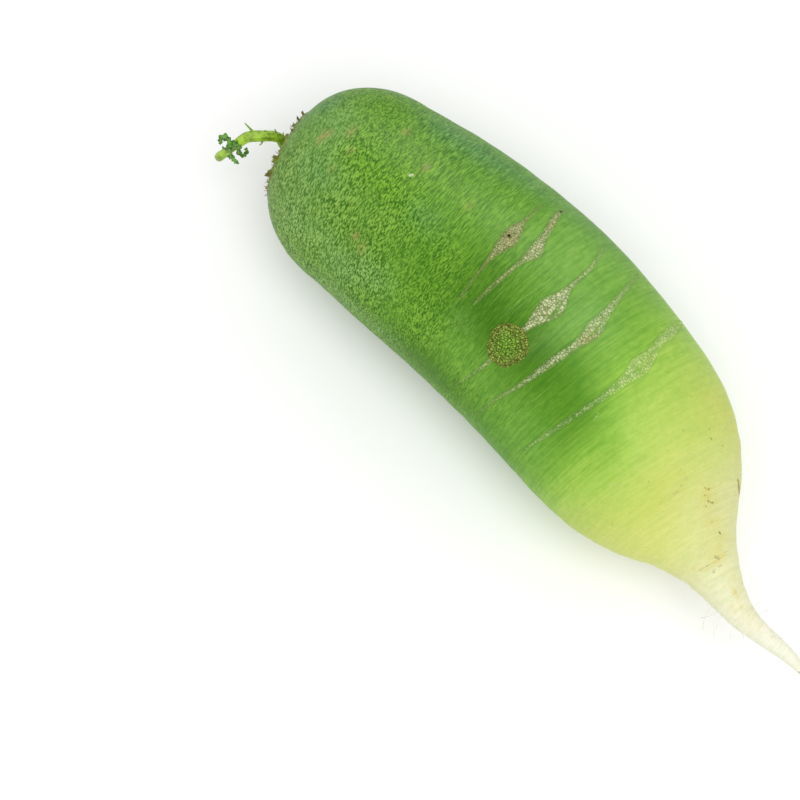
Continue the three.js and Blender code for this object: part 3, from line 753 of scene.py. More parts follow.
def tube(path, radii, grid, ribs=0, rib_depth=0.0):
    """A tube along a path: rings whose radius follows the table of (share of the path, radius), with
    ribs along it if asked for. Gives points, faces and each point's share of the path."""
    around, steps = grid
    centre, _, side, up = path_frames(path, steps)
    share = np.linspace(0, 1, steps + 1)[:, None]
    angle = np.linspace(0, 2 * math.pi, around, endpoint=False)[None]
    radius = smooth(radii, share) * (1 + rib_depth * np.cos(ribs * angle))
    points = (centre[:, None] + (radius * np.cos(angle))[..., None] * side[:, None]
              + (radius * np.sin(angle))[..., None] * up[:, None])
    cap = [centre[-1] + (points[-1] - centre[-1]) * size for size in TIP_RINGS]
    points = np.concatenate([points, cap])
    rings = steps + 1 + len(TIP_RINGS)
    points = np.concatenate([points.reshape(-1, 3), centre[:1], centre[-1:]])
    count = rings * around
    faces = ring_faces(rings, around, count, count + 1)
    along = np.concatenate([share[:, 0], np.ones(len(TIP_RINGS))])
    return points, faces, np.concatenate([np.repeat(along, around), [0, 1]])


def blade(path, widths, facing, thickness, seed):
    """A closed thin leaflet: its middle line follows a path, its width follows three widths with
    toothed edges, and it waves up and down more towards its edges. Both faces share one layout."""
    centre, ahead, _, _ = path_frames(path, LEAFLET_STEPS)
    side = np.cross(ahead, np.array(facing, float) / np.linalg.norm(facing))
    side = side / np.linalg.norm(side, axis=1, keepdims=True)
    normal = np.cross(side, ahead)
    rows, columns = LEAFLET_STEPS + 1, LEAFLET_ACROSS + 1
    share = np.linspace(0, 1, rows)[:, None]
    u = np.linspace(-1, 1, columns)[None]
    width = smooth(((0, widths[0]), (0.5, widths[1]), (1, widths[2])), share)
    turns = share * LEAFLET_TEETH * 2 * math.pi
    tooth = 1 + LEAFLET_TOOTH * np.abs(u) ** 3 * np.sin(turns + seed + 1.3 * np.sign(u))
    curl = LEAFLET_WAVE * u ** 2 * (np.sin(share * 15 + 2.1 * np.sign(u) + seed * 2) + 0.5)
    middle = centre[:, None] + (u * width * tooth / 2)[..., None] * side[:, None]
    middle = middle + curl[..., None] * normal[:, None]
    half = thickness * (0.55 - 0.3 * np.abs(u) ** 2) * (1 + 0.5 * bump(u, 0.2)) + 0 * share
    top = middle + half[..., None] * normal[:, None]
    under = middle - half[..., None] * normal[:, None]
    ring = np.concatenate([top, under[:, ::-1]], axis=1)
    points = np.concatenate([ring.reshape(-1, 3), middle[:1].mean(1), middle[-1:].mean(1)])
    count = rows * columns * 2
    faces = ring_faces(rows, columns * 2, count, count + 1)
    along = np.concatenate([np.repeat(share[:, 0], columns * 2), [0, 1]])
    edge = np.abs(np.concatenate([u[0], u[0][::-1]]))
    return points, faces, along, np.concatenate([np.tile(edge, rows), [0, 0]])


def joined(parts):
    """Several closed (points, faces, marks) as one: the points in a row, and the faces turned outwards
    and counted on."""
    points, faces, marks = [], [], {}
    start = 0
    for part_points, part_faces, part_marks in parts:
        points.append(part_points)
        faces.extend([corner + start for corner in face] for face in outward(part_points, part_faces))
        for name, values in part_marks.items():
            marks.setdefault(name, []).append(values)
        start += len(part_points)
    return np.concatenate(points), faces, {name: np.concatenate(values) for name, values in marks.items()}


class Finish:
    """A material's nodes, made one after another."""

    def __init__(self, name):
        self.material = bpy.data.materials.new(name)
        self.material.use_nodes = True
        self.tree = self.material.node_tree
        self.tree.nodes.clear()
        self.made = 0
        self.shader = self.node("ShaderNodeBsdfPrincipled")
        output = self.node("ShaderNodeOutputMaterial")
        self.feed(output.inputs[0], self.shader.outputs[0])

    def node(self, kind, **settings):
        """A node of a kind with its settings, placed in the next free spot."""
        node = self.tree.nodes.new(kind)
        for name, value in settings.items():
            setattr(node, name, value)
        node.location = (190 * (self.made % 14), -230 * (self.made // 14))
        self.made += 1
        return node

    def feed(self, socket, value):
        """Joins a socket to another node's output, or sets it to a plain value."""
        if isinstance(value, bpy.types.NodeSocket):
            self.tree.links.new(value, socket)
        elif socket.type == "RGBA":
            socket.default_value = (*value, 1.0)
        else:
            socket.default_value = value

    def fed(self, kind, sockets, **settings):
        """A node of a kind with its settings, and its sockets fed by name or number."""
        node = self.node(kind, **settings)
        for socket, value in sockets.items():
            self.feed(node.inputs[socket], value)
        return node

    def surface(self, sockets):
        """Feeds the shader's sockets by name, and gives the finished material."""
        for name, value in sockets.items():
            self.feed(self.shader.inputs[name], value)
        return self.material

    def mark(self, name, output="Fac"):
        """A number kept at each point."""
        return self.node("ShaderNodeAttribute", attribute_name=name).outputs[output]

    def stretched(self, vector, *factors):
        """A vector with each axis multiplied by its own factor."""
        return self.fed("ShaderNodeVectorMath", {0: vector, 1: factors}, operation="MULTIPLY").outputs[0]

    def noise(self, vector, detail=2.0, roughness=0.5, scale=1.0):
        """Soft random values between nought and one."""
        sockets = {"Vector": vector, "Scale": scale, "Detail": detail, "Roughness": roughness}
        return self.fed("ShaderNodeTexNoise", sockets).outputs["Fac"]

    def patched(self, vector, along, around, detail=2.0, roughness=0.5):
        """Soft random values in patches of a width along the root and one round it, in mm."""
        return self.noise(self.stretched(vector, 1 / along, 1 / around, 1 / around), detail, roughness)

    def cells(self, vector, output="Distance", feature="F1"):
        """A cell pattern: the distance to the nearest cell's edge or middle, or a colour for each."""
        sockets = {"Vector": vector, "Scale": 1.0}
        return self.fed("ShaderNodeTexVoronoi", sockets, feature=feature).outputs[output]

    def maths(self, operation, first, second, clamp=False):
        """Arithmetic on two numbers."""
        sockets = {0: first, 1: second}
        return self.fed("ShaderNodeMath", sockets, operation=operation, use_clamp=clamp).outputs[0]

    def times(self, first, *others):
        """The product of numbers."""
        for other in others:
            first = self.maths("MULTIPLY", first, other)
        return first

    def plus(self, first, *others):
        """The sum of numbers."""
        for other in others:
            first = self.maths("ADD", first, other)
        return first

    def swung(self, value, noise, amount, middle=0.5):
        """A value moved to and fro by a noise: plus the noise less its middle, times an amount."""
        return self.plus(value, self.times(self.maths("SUBTRACT", noise, middle), amount))

    def spread(self, value, low, high, to_low=0.0, to_high=1.0, kind="SMOOTHSTEP"):
        """A value carried from one range to another, and held at its ends."""
        sockets = {"Value": value, "From Min": low, "From Max": high, "To Min": to_low, "To Max": to_high}
        return self.fed("ShaderNodeMapRange", sockets, interpolation_type=kind).outputs["Result"]

    def mix(self, factor, first, second, blend="MIX"):
        """Two colours mixed by a factor."""
        sockets = {0: factor, 6: first, 7: second}
        return self.fed("ShaderNodeMix", sockets, data_type="RGBA", blend_type=blend,
                        clamp_factor=True).outputs[2]

    def by(self, shade, *factors):
        """A colour with each channel multiplied by its own factor."""
        return self.mix(1.0, shade, factors, blend="MULTIPLY")

    def ramp(self, value, stops):
        """A colour that changes through stops of (place, colour)."""
        node = self.fed("ShaderNodeValToRGB", {0: value})
        elements = node.color_ramp.elements
        while len(elements) < len(stops):
            elements.new(0.5)
        for element, (place, shade) in zip(elements, stops):
            element.position = place
            element.color = (*shade, 1.0)
        return node.outputs["Color"]

    def relief(self, height, distance, strength=1.0):
        """A bump from a height between nought and one, whose full height is a real distance."""
        sockets = {"Height": height, "Distance": distance, "Strength": strength}
        return self.fed("ShaderNodeBump", sockets).outputs["Normal"]


def shaded(shade, factor):
    """A colour made darker or lighter by a factor."""
    return tuple(min(1.0, value * factor) for value in shade)


def halfway(first, second):
    """The colour half way between two."""
    return tuple((a + b) / 2 for a, b in zip(first, second))


# The skin's noises: their patches' width along the root and round it in mm, detail and roughness.
SKIN_NOISES = {
    "bands": (5, 42, 3, 0.55),
    "patchy": (16, 18),
    "streaks": (0.75, 22, 2, 0.6),
    "blots": (1.7, 3.2, 2, 0.6),
    "grain": (0.35, 0.6),
    "wrinkles": (0.8, 3.4, 1),
    "creases": (0.42, 3.2, 2, 0.6),
    "stains": (0.9, 5, 3, 0.65),
    "wobble": (1.1, 1.1, 1),
    "lumps": (0.8, 0.8, 3, 0.7),
    "corkiness": (1.6, 2.0, 4, 0.7),
}
FLECK_REACH = 2.8

# The skin's colours at values of paling, which runs from the crown to past the foot of the tail.
PALING_RANGE = (-240.0, 60.0)
PALING_STOPS = (
    (-240, "crown"), (-165, "upper"), (-92, "middle"), (-72, "middle"), (-50, "fresh"), (-40, "yellow"),
    (-20, "pale"), (0, "cream"), (18, None), (36, "tail"), (60, "tail"),
)
# How strongly the painted highlight along the top of the body is laid on.
PAINTED_SHEEN_SHARE = 0.065

# Unevenness laid on the skin one after another: the noise, its range, and the factors for the red,
# green and blue of its dark and of its light parts.
UNEVENNESS = (
    ("blots", (0.32, 0.68), (0.84, 0.9, 0.8), (1.16, 1.08, 1.2)),
    ("streaks", (0.3, 0.7), (0.78, 0.86, 0.76), (1.22, 1.11, 1.2)),
    ("grain", (0.32, 0.68), (0.93, 0.95, 0.88), (1.05, 1.04, 1.1)),
)


class SkinFinish(Finish):
    """The root's finish, with its noises and its settings at hand by name."""

    def __init__(self):
        super().__init__("radish_skin")
        self.tones = look("skin")
        self.crown = look("crown")
        self.straight = self.mark("straight", "Vector")
        self.paling = self.mark("paling")
        for name, sizes in SKIN_NOISES.items():
            setattr(self, name, self.patched(self.straight, *sizes))
        width = self.tones.fleck / MM
        self.flecks = self.patched(self.straight, width, FLECK_REACH * width, 1)

    def sized(self, size):
        """The straightened skin measured in a size, in mm."""
        return self.stretched(self.straight, 1 / size, 1 / size, 1 / size)

    def laid(self, skin, name, share=1.0, shade=None):
        """The skin with a shade over it where a mark is strong, times a share. The shade is the mark's
        own unless another is given."""
        return self.mix(self.times(self.mark(name), share), skin, shade or getattr(self.tones, name))


def paled(f):
    """The green that pales along the root: the paling value, moved to and fro by bands and patches,
    picks its colour from the stops, and soft patches of other greens lie on it, with painted shade
    along the lower flank and a painted bluish sheen on the upper flank."""
    tones = f.tones
    place = f.swung(f.swung(f.paling, f.bands, 12.0), f.patchy, 9.0)
    place = f.spread(place, *PALING_RANGE, kind="LINEAR")
    reach = PALING_RANGE[1] - PALING_RANGE[0]
    between = halfway(tones.cream, tones.tail)
    shades = [(at, getattr(tones, name) if name else between) for at, name in PALING_STOPS]
    skin = f.ramp(place, [((at - PALING_RANGE[0]) / reach, shade) for at, shade in shades])
    skin = f.laid(f.laid(skin, "lime"), "milk")
    green = f.spread(f.paling, -62, -30, 1.0, 0.0)
    spotted = f.times(green, f.spread(f.blots, 0.3, 0.7, 0.75, 1.0))
    # The dark patches lay deeper green, and painted shade along the lower flank.
    skin = f.laid(f.laid(skin, "dark", spotted, tuple(tones.deep)), "light", green)
    grey = f.times(f.mark("grey"), green)
    skin = f.mix(f.times(grey, 0.5), skin, tones.grey)
    # Painted sheen: the bluish reflection of the sky on the upper flank.
    return f.laid(skin, "painted_blue_sheen", green), grey


def flecked(f, skin, grey):
    """Dark and light flecks near the crown, which turn to creases further on, then blots, streaks and
    grain, each by its own share. Gives the skin and how strong the flecks are."""
    fleck_share = f.times(
        f.spread(f.paling, -150, -55, 1.0, 0.0), f.spread(f.patchy, 0.3, 0.62, 0.65, 1.0),
        f.spread(f.mark("light"), 0, 0.8, 1.0, 0.3), f.spread(f.mark("dark"), 0, 0.9, 1.0, 0.45))
    light = f.mix(f.times(grey, 0.6), f.by(skin, 2.05, 1.56, 2.05), shaded(f.tones.grey, 1.5))
    dark = f.by(skin, 0.39, 0.54, 0.31)
    pebbled = f.swung(f.flecks, f.wrinkles, 0.35)
    sockets = {0: f.spread(f.paling, -165, -110), 2: pebbled, 3: f.creases}
    stroke = f.fed("ShaderNodeMix", sockets, data_type="FLOAT").outputs[0]
    skin = f.mix(fleck_share, skin, f.mix(f.spread(stroke, 0.37, 0.64), dark, light))
    streak_share = f.times(f.spread(f.paling, -170, -110, 0.2, 0.8), f.spread(f.paling, -60, -25, 1.0, 0.24))
    shares = (f.spread(f.paling, -80, -10, 0.8, 0.22), streak_share, f.spread(f.paling, -70, -20, 0.3, 0.65))
    for share, (noise, span, darker, lighter) in zip(shares, UNEVENNESS):
        uneven = f.mix(f.spread(getattr(f, noise), *span), f.by(skin, *darker), f.by(skin, *lighter))
        skin = f.mix(share, skin, uneven)
    return skin, fleck_share


def marked(f, skin):
    """The painted sheen on top, tan blotches, white and brown specks, stains and hairlines on the skin."""
    # Painted highlight: a pale band along the top of the body, where the light's sheen falls.
    skin = f.laid(skin, "painted_sheen", PAINTED_SHEEN_SHARE)
    skin = f.laid(skin, "tan", f.spread(f.flecks, 0.35, 0.6, 0.25, 1.0))
    white = f.times(f.spread(f.mark("white"), 0.15, 0.6), f.spread(f.grain, 0.3, 0.6, 0.3, 0.9))
    skin = f.mix(white, skin, shaded(f.tones.net, 1.2))
    skin = f.laid(skin, "ochre", f.spread(f.stains, 0.3, 0.75, 0.1, 0.9))
    specks = f.times(f.spread(f.cells(f.sized(7)), 0.075, 0.035), 0.45)
    skin = f.mix(f.times(specks, f.spread(f.paling, -60, 10, 0.3, 1.0)), skin, f.tones.cork)
    hair = f.swung(f.mark("hairline"), f.grain, 0.35, middle=0.55)
    hair_shade = f.mix(0.25, f.by(skin, 1.5, 1.3, 1.4), f.tones.net)
    return f.mix(f.spread(hair, -0.12, 0.1, 0.0, 0.38), skin, hair_shade)


def scarred(f, skin):
    """The side-root scars: pale cells with darker seams inside a ragged rim, greener where a scar is
    thin and in its slits, and painted shade in a darker band just outside each. Gives the skin, the
    scars' share and the distance to the cells' edges."""
    tones, depth = f.tones, f.mark("scar")
    scar = f.swung(depth, f.grain, 0.9)
    share = f.spread(scar, -0.1, 0.12)
    # Painted shade: a darker green band just outside each scar, where the raised scar shades the skin.
    beside = f.times(f.spread(depth, -0.55, -0.02, 0.0, 0.45), f.spread(depth, 0.0, 0.25, 1.0, 0.0))
    skin = f.mix(beside, skin, f.by(skin, 0.66, 0.79, 0.66))
    tan, paleness, fineness = f.fed("ShaderNodeSeparateXYZ", {0: f.mark("scar_look", "Vector")}).outputs
    space = f.stretched(f.straight, 1 / 1.25, 1 / 0.95, 1 / 0.95)
    space = f.fed("ShaderNodeVectorMath", {0: space, "Scale": fineness}, operation="SCALE").outputs[0]
    space = f.fed("ShaderNodeVectorMath", {0: space, 1: f.wobble}, operation="ADD").outputs[0]
    cell_edge = f.cells(space, feature="DISTANCE_TO_EDGE")
    cell_tone = f.fed("ShaderNodeRGBToBW", {0: f.cells(space, "Color")}).outputs[0]
    paleness = f.times(paleness, f.spread(scar, 0.2, 1.3, 0.25, 1.0))
    pale = f.mix(paleness, f.by(skin, 1.45, 1.2, 2.0), tones.net)
    pale = f.mix(f.times(tan, 0.4), pale, tones.tan)
    dark = f.mix(f.times(tan, 0.9), f.by(skin, 0.74, 0.80, 0.74), tones.seam)
    net = f.mix(f.spread(cell_tone, 0.2, 0.65, 0.68, 1.0), dark, pale)
    net = f.mix(f.times(f.spread(cell_edge, 0.02, 0.17, 1.0, 0.0), 0.88), net, dark)
    rim = f.times(f.spread(scar, 0.0, 0.3, 1.0, 0.0), 0.5)
    net = f.mix(rim, net, f.mix(0.35, dark, tones.net))
    net = f.mix(f.mark("rust"), net, f.by(net, 1.0, 0.72, 0.62))
    net = f.mix(f.spread(f.mark("burnt"), 0.3, 0.75), net, shaded(tones.cork, 0.3))
    slit = f.times(f.spread(f.mark("slit"), -0.15, 0.1), 0.7)
    net = f.mix(slit, net, f.by(skin, 0.95, 0.95, 0.9))
    return f.mix(f.times(share, f.spread(scar, 0.0, 0.75, 0.6, 1.0)), skin, net), share, cell_edge


def plugged(f, skin):
    """The round scar: green and olive pebbles in its middle, and a browner rim. Gives the skin and the
    scar's share."""
    tones, lumps = f.tones, f.lumps
    disc = f.swung(f.mark("round_scar"), lumps, 0.9)
    pebble = f.spread(f.cells(f.sized(0.9), feature="DISTANCE_TO_EDGE"), 0.04, 0.24)
    inner = f.mix(f.spread(lumps, 0.36, 0.62), shaded(tones.middle, 0.86), shaded(f.crown.ridge, 0.95))
    crust = f.mix(f.spread(lumps, 0.4, 0.62), shaded(tones.crust, 0.8), shaded(tones.tan, 0.95))
    plug = f.mix(f.spread(f.swung(disc, lumps, 14.0), 0.6, 5.5, 0.42, 0.9), crust, inner)
    plug = f.mix(pebble, f.by(plug, 0.4, 0.38, 0.32), f.by(plug, 1.3, 1.3, 1.25))
    plug = f.mix(f.spread(disc, 0.0, 0.45, 0.5, 0.0), plug, shaded(tones.crust, 0.6))
    share = f.spread(disc, -0.1, 0.2)
    return f.mix(share, skin, plug), share


def nicked(f, skin):
    """The short dashes and ticks, pale or brown."""
    nick = f.spread(f.swung(f.mark("nick"), f.grain, 0.5), -0.12, 0.12)
    brown = f.mix(0.15, shaded(f.tones.ochre, 0.4), f.tones.cork)
    shade = f.mix(f.mark("nick_brown"), f.mix(0.6, skin, f.tones.net), brown)
    return f.mix(f.times(nick, f.spread(f.grain, 0.3, 0.6, 0.35, 0.95)), skin, shade)


def crowned(f, skin):
    """The crown: green rings of leaf bases in the middle, and corky skin round them. Gives the skin and
    the ragged distance from the crown's middle."""
    broken = f.swung(f.mark("crown_ridge"), f.corkiness, 1.6)
    rings = f.mix(f.spread(broken, 0.1, 0.95), halfway(f.crown.groove, f.tones.crown), f.crown.ridge)
    rings = f.mix(f.spread(f.corkiness, 0.52, 0.7, 0.0, 0.6), rings, f.tones.cork)
    away = f.swung(f.mark("crown_radius"), f.corkiness, 9.0)
    corky = f.mix(f.spread(f.lumps, 0.36, 0.64), shaded(f.tones.cork, 0.5), f.tones.tan)
    corky = f.mix(f.spread(f.flecks, 0.4, 0.7, 0.0, 0.7), corky, f.crown.stub)
    skin = f.mix(f.spread(away, 19.0, 16.6, 0.0, 0.95), skin, corky)
    return f.mix(f.spread(away, 15.4, 12.8, 0.0, 1.0), skin, rings), away


def skin_finish():
    """The root's skin: a green that pales along the root, flecked round the crown and streaked in the
    middle, with netted scars, a corky round scar, dashes, stains and the crown's rings."""
    f = SkinFinish()
    skin, fleck_share = flecked(f, *paled(f))
    skin, scar_share, cell_edge = scarred(f, marked(f, skin))
    skin, disc_share = plugged(f, skin)
    skin, crown_away = crowned(f, nicked(f, skin))
    on_scars = f.maths("MAXIMUM", scar_share, disc_share)
    height = f.plus(
        f.times(f.flecks, f.times(fleck_share, 0.55)), f.times(f.grain, 0.05), f.times(f.streaks, 0.16),
        f.times(f.spread(cell_edge, 0.0, 0.22), 0.55, on_scars),
        f.times(f.spread(crown_away, 21, 17, 0.0, 0.9), f.corkiness))
    return f.surface({
        "Base Color": skin,
        "Normal": f.relief(height, 0.00022, 0.8),
        "Roughness": f.maths("ADD", f.spread(f.patchy, 0.3, 0.7, 0.42, 0.5), f.times(on_scars, 0.22), True),
        "Specular IOR Level": 0.1,
        "Subsurface Weight": 0.08,
        "Subsurface Radius": (1.0, 1.0, 0.4),
        "Subsurface Scale": 0.0022,
    })


def stub_finish():
    """Torn leaf bases: green at the foot, drying to brown at the tip, with streaks along them."""
    crown = look("crown")
    f = Finish("torn_stub")
    grain = f.noise(f.node("ShaderNodeTexCoord").outputs["Object"], detail=3, roughness=0.6, scale=900)
    shade = f.mix(f.spread(f.swung(f.mark("up"), grain, 0.8), 0.3, 0.95), crown.stub, crown.dry)
    shade = f.mix(f.times(f.mark("dry"), 0.55), shade, crown.dry)
    shade = f.mix(f.spread(grain, 0.55, 0.75, 0.0, 0.5), shade, shaded(crown.ridge, 1.1))
    return f.surface({"Base Color": shade, "Normal": f.relief(grain, 0.0001, 0.6), "Roughness": 0.7})


def leaf_finish():
    """The young leaf: a ribbed yellow-green stalk and darker leaflets with a pale midrib."""
    leaf = look("leaf")
    f = Finish("young_leaf")
    space = f.node("ShaderNodeTexCoord").outputs["Object"]
    mottle = f.noise(space, detail=3, roughness=0.6, scale=420)
    fine = f.noise(space, detail=2, roughness=0.5, scale=1600)
    stalk = f.mix(f.spread(mottle, 0.38, 0.6), shaded(leaf.stalk, 0.55), shaded(leaf.stalk, 1.1))
    stalk = f.mix(f.spread(f.mark("along"), 0.94, 0.995), stalk, leaf.cut)
    green = f.mix(f.spread(mottle, 0.38, 0.62), shaded(leaf.blade, 0.45), shaded(leaf.blade, 1.6))
    # Painted highlights: yellow-green specks on the leaflets, where light catches their curls.
    green = f.mix(f.spread(fine, 0.5, 0.68, 0.0, 0.6), green, shaded(leaf.stalk, 0.8))
    green = f.mix(f.spread(f.mark("edge"), 0.08, 0.3, 0.3, 0.0), green, shaded(leaf.stalk, 0.85))
    return f.surface({
        "Base Color": f.mix(f.mark("blade"), stalk, green),
        "Normal": f.relief(f.plus(f.times(mottle, 0.7), f.times(fine, 0.3)), 0.0002, 0.6),
        "Roughness": 0.46,
        "Subsurface Weight": 0.12,
        "Subsurface Radius": (0.5, 1.0, 0.3),
        "Subsurface Scale": 0.0012,
    })


def hair_finish():
    """Hair roots: thin, pale and a little brown towards their tips."""
    f = Finish("hair_root")
    shade = f.mix(f.spread(f.mark("along"), 0.4, 1.0), look("skin").tail, shaded(look("skin").tan, 1.1))
    return f.surface({"Base Color": shade, "Roughness": 0.6})


def plain_finish(name, shade, roughness):
    """A plain matt surface with a faint unevenness."""
    f = Finish(name)
    cloud = f.noise(f.node("ShaderNodeTexCoord").outputs["Object"], detail=2, scale=3)
    shade = f.mix(cloud, shaded(shade, 0.985), shade)
    return f.surface({"Base Color": shade, "Roughness": roughness, "Specular IOR Level": 0.2})


def stub_draws():
    """The same seeded draws as in the part's source, as rows of place, radius, length, half width,
    lean and notch for each stub."""
    state = SEED

    def draw(low, high):
        nonlocal state
        state = (state * 1664525 + 1013904223) % 2 ** 32
        return low + (high - low) * state / 2 ** 32

    rows = []
    for k in range(STUB_COUNT):
        place = (k + draw(-0.3, 0.3)) / STUB_COUNT * 2 * math.pi
        radius = STUB_RING_RADIUS + draw(-STUB_RING_SPREAD, STUB_RING_SPREAD)
        tall = draw(*STUB_LENGTHS)
        half = draw(*STUB_WIDTHS) / 2
        rows.append((place, radius, tall, half, draw(*STUB_LEAN), draw(*STUB_NOTCH)))
    return rows


def torn_stub(place, radius, tall, half, lean, notch, seed):
    """One torn leaf base: a curved blade that stands out of the crown, its top torn into points by
    sines, thinner towards the top, and leaning by an amount that grows with height."""
    across = np.linspace(-1, 1, STUB_GRID)[None]
    up = np.linspace(0, 1, STUB_GRID)[:, None]
    torn = notch + (1 - notch) * np.abs(np.sin(across * 2.4 + seed)) ** 0.7
    torn = torn * (1 + 0.14 * np.sin(across * 13 + seed * 3))
    height = -STUB_SUNK + (STUB_SUNK + tall * torn) * up
    above = np.maximum(height, 0)
    width = half * (1 - 0.35 * up ** 2)
    turn = place + across * width / radius
    bend = radius + lean * above + 0.25 * half * (1 - across ** 2)
    thick = STUB_THICKNESS * (1 - 0.55 * up) * (1 - 0.45 * across ** 2)
    front, back = (on_ring(height, bend + side * thick, turn, radius, place) for side in (1, -1))
    ring = np.concatenate([front, back[:, ::-1]], axis=1)
    ends = np.stack([ring[0].mean(0), ring[-1].mean(0)])
    points = np.concatenate([ring.reshape(-1, 3), ends])
    around = 2 * STUB_GRID
    count = STUB_GRID * around
    risen = np.concatenate([np.repeat(up[:, 0], around) ** 2 * min(1, tall / 2), [0, 1]])
    dry = np.full(len(points), 0.5 + 0.5 * math.sin(seed * 7.7)) * 0.8
    return points, ring_faces(STUB_GRID, around, count, count + 1), {"up": risen, "dry": dry}


def outward(points, faces):
    """Faces turned so that the closed body they make has a volume above nought."""
    corners = np.array([face[:3] for face in faces])
    a, b, c = (points[corners[:, i]] - points.mean(0) for i in range(3))
    volume = np.einsum("ij,ij->i", a, np.cross(b, c)).sum()
    return faces if volume > 0 else [face[::-1] for face in faces]


class RADISH_OT_root(bpy.types.Operator):
    """Make the root's skin, from the crown to the tail"""

    bl_idname = "radish.root"
    bl_label = "Root"

    def execute(self, context):
        points, marks = ROOT_SKIN
        rows = len(points)
        ends = np.stack([on_root(PIT_DEPTH, 0.0, 0.0), on_root(ROOT_LENGTH, 0.0, 0.0)])
        count = rows * AROUND
        flat_points = np.concatenate([points.reshape(-1, 3), ends])
        faces = outward(flat_points, ring_faces(rows, AROUND, count, count + 1))
        values = {}
        for name, grid in marks.items():
            flat = grid.reshape(count, *grid.shape[2:])
            values[name] = np.concatenate([flat, flat[:1], flat[-1:]])
        piece = add_piece("radish_root", flat_points, faces, values, skin_finish(), "radish_skin")
        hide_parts("root")
        return {"FINISHED"}


class RADISH_OT_fringe(bpy.types.Operator):
    """Make the ragged ring of torn leaf bases and fibres round the crown"""

    bl_idname = "radish.fringe"
    bl_label = "Crown fringe"

    def execute(self, context):
        parts = [torn_stub(*row, seed) for seed, row in enumerate(stub_draws())]
        draw = np.random.default_rng(SEED)
        for _ in range(FIBRE_COUNT):
            place = draw.uniform(0, 2 * math.pi)
            radius = STUB_RING_RADIUS + draw.normal(0, FIBRE_SPREAD)
            tall = draw.uniform(*FIBRE_LENGTHS)
            swing = draw.uniform(*FIBRE_SWING) / radius
            out = radius + draw.uniform(*FIBRE_LEAN) * np.maximum(FIBRE_STEPS, 0) ** 2
            path = on_ring(tall * FIBRE_STEPS, out, place + swing * FIBRE_STEPS, radius, place)
            thick = draw.uniform(*FIBRE_THICKNESS)
            points, faces, shares = tapered(path, thick, thick * THIN_END, FIBRE_GRID)
            dry = np.full(len(points), draw.uniform(*FIBRE_DRYNESS))
            parts.append((points, faces, {"up": shares, "dry": dry}))
        add_piece("crown_fringe", *joined(parts), stub_finish(), "radish_skin")
        return {"FINISHED"}


class RADISH_OT_leaf(bpy.types.Operator):
    """Make the young leaf: its stalk, spurs and curled leaflets"""

    bl_idname = "radish.leaf"
    bl_label = "Young leaf"

    def execute(self, context):
        foot = on_root(np.array([STALK_START, -STALK_START]), np.zeros(2), np.zeros(2))
        path = np.concatenate([foot, np.array(STALK_PATH, float)])
        parts = []

        def keep(points, faces, along, blade_share, edge):
            marks = {"along": along, "blade": np.full(len(points), blade_share), "edge": edge}
            parts.append((points, faces, marks))

        points, faces, along = tube(path, STALK_RADII, STALK_GRID, STALK_RIBS, RIB_DEPTH)
        keep(points, faces, along, 0.0, np.ones(len(points)))
        for spur, (thick, thin) in SPURS:
            points, faces, along = tapered(spur, thick, thin, SPUR_GRID)
            keep(points, faces, along * 0.5, 0.35, np.ones(len(points)))
        for index, leaflet in enumerate(LEAFLETS):
            points, faces, along, edge = blade(*leaflet, look("leaf").thickness / MM, index)
            keep(points, faces, along, 1.0, edge)
        piece = add_piece("curled_leaf", *joined(parts), leaf_finish(), "leaf")
        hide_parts("young_leaf")
        return {"FINISHED"}


class RADISH_OT_hair_roots(bpy.types.Operator):
    """Make the fine hair roots along the tail"""

    bl_idname = "radish.hair_roots"
    bl_label = "Hair roots"

    def execute(self, context):
        parts = []
        draw = np.random.default_rng(SEED + 1)
        for degrees, distance, count, reach in HAIR_ROOTS:
            for _ in range(count):
                s = distance + draw.uniform(-3, 3)
                angle = math.radians(degrees + draw.uniform(-14, 14))
                radius = float(smooth(RADII, s))
                long = reach * draw.uniform(0.5, 1)
                drift = draw.uniform(-0.3, 0.9) * HAIR_STEPS ** 2
                wave = HAIR_WAVE * np.sin(HAIR_STEPS * 5 + draw.uniform(0, 6)) * HAIR_STEPS
                path = on_root(s + long * drift, radius + long * HAIR_STEPS * 0.8, angle + wave)
                path[:, 2] -= long * HAIR_DROOP * np.maximum(HAIR_STEPS, 0) ** 2
                thick = draw.uniform(*HAIR_THICKNESS)
                points, faces, along = tapered(path, thick, thick * THIN_END, HAIR_GRID)
                parts.append((points, faces, {"along": along}))
        add_piece("hair_roots", *joined(parts), hair_finish(), "radish_skin")
        return {"FINISHED"}


def aimed(name, data, azimuth, elevation, distance, target):
    """An object at a distance from a target, turned towards it. It stands at an azimuth, nought being
    towards -Y, and an elevation."""
    level = math.cos(elevation)
    way = Vector((math.sin(azimuth) * level, -math.cos(azimuth) * level, math.sin(elevation)))
    thing = linked(name, data)
    thing.location = target + way * distance
    thing.rotation_euler = (-way).to_track_quat("-Z", "Y").to_euler()
    return thing


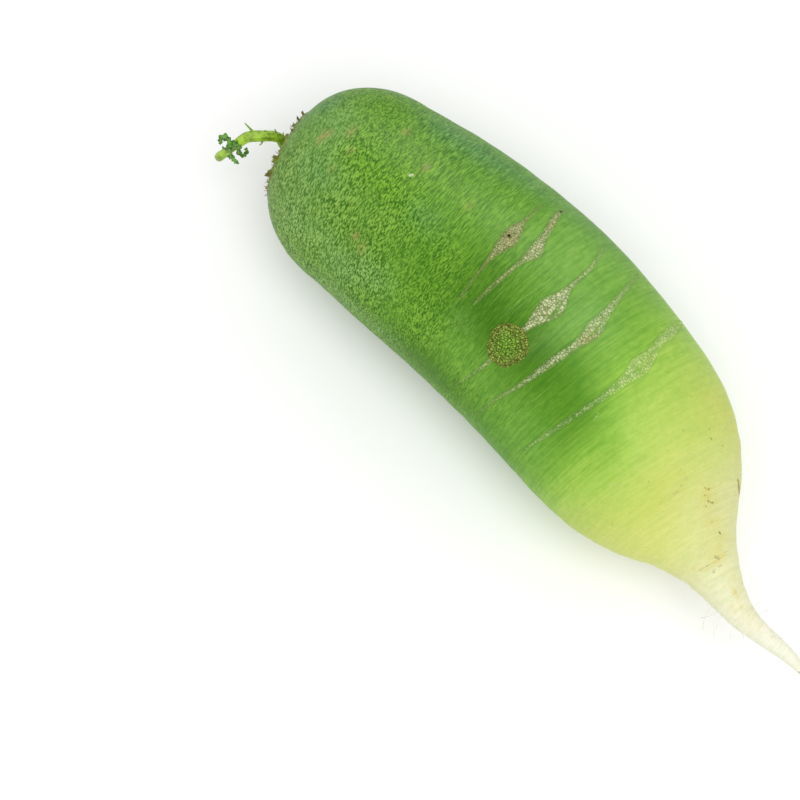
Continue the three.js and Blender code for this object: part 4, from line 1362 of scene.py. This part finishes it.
class RADISH_OT_stage(bpy.types.Operator):
    """Make the pale floor, the soft lights and the camera"""

    bl_idname = "radish.stage"
    bl_label = "Stage"

    def execute(self, context):
        stage = look("stage")
        scene = context.scene
        scene.view_settings.view_transform = "Standard"
        scene.view_settings.look = "None"
        world = bpy.data.worlds.new("soft_sky")
        world.use_nodes = True
        background = world.node_tree.nodes["Background"]
        background.inputs["Color"].default_value = (1, 1, 1, 1)
        background.inputs["Strength"].default_value = stage.world
        scene.world = world

        mesh = bpy.data.meshes.new("floor")
        corners = [(x * FLOOR_HALF, y * FLOOR_HALF, 0) for x, y in ((-1, -1), (1, -1), (1, 1), (-1, 1))]
        mesh.from_pydata(corners, [], [(0, 1, 2, 3)])
        mesh.materials.append(plain_finish("pale_floor", stage.floor, 0.85))
        linked("floor", mesh)

        for name, azimuth, elevation, distance, size, power in SOFTBOXES:
            light = bpy.data.lights.new(name, "AREA")
            light.shape = "DISK"
            light.size = size
            light.energy = power
            aimed(name, light, math.radians(azimuth), math.radians(elevation), distance, Vector())

        camera = bpy.data.cameras.new("camera")
        camera.lens = stage.lens
        camera.clip_start = CAMERA_NEAR
        scene.camera = aimed(
            "camera", camera, stage.azimuth, stage.elevation, CAMERA_DISTANCE, CAMERA_TARGET)
        return {"FINISHED"}


STEPS = (RADISH_OT_stage, RADISH_OT_root, RADISH_OT_fringe, RADISH_OT_leaf, RADISH_OT_hair_roots)


class RADISH_PT_panel(bpy.types.Panel):
    """Lists the radish's pieces and settings"""

    bl_idname = "RADISH_PT_panel"
    bl_label = "Green daikon radish"
    bl_space_type = "VIEW_3D"
    bl_region_type = "UI"
    bl_category = "Radish"

    def draw(self, context):
        for step in STEPS:
            self.layout.operator(step.bl_idname)
        for name, group in LOOKS.items():
            box = self.layout.box()
            box.label(text=name.capitalize())
            for setting in group.__annotations__:
                box.prop(look(name), setting)


CLASSES = (*LOOKS.values(), *STEPS, RADISH_PT_panel)


def register():
    for cls in CLASSES:
        bpy.utils.register_class(cls)
    for name, group in LOOKS.items():
        setattr(bpy.types.Scene, f"radish_{name}", bpy.props.PointerProperty(type=group))


def unregister():
    for name in LOOKS:
        delattr(bpy.types.Scene, f"radish_{name}")
    for cls in reversed(CLASSES):
        bpy.utils.unregister_class(cls)


def main():
    register()
    for step in STEPS:
        group, name = step.bl_idname.split(".")
        getattr(getattr(bpy.ops, group), name)()


if __name__ == "__main__":
    main()
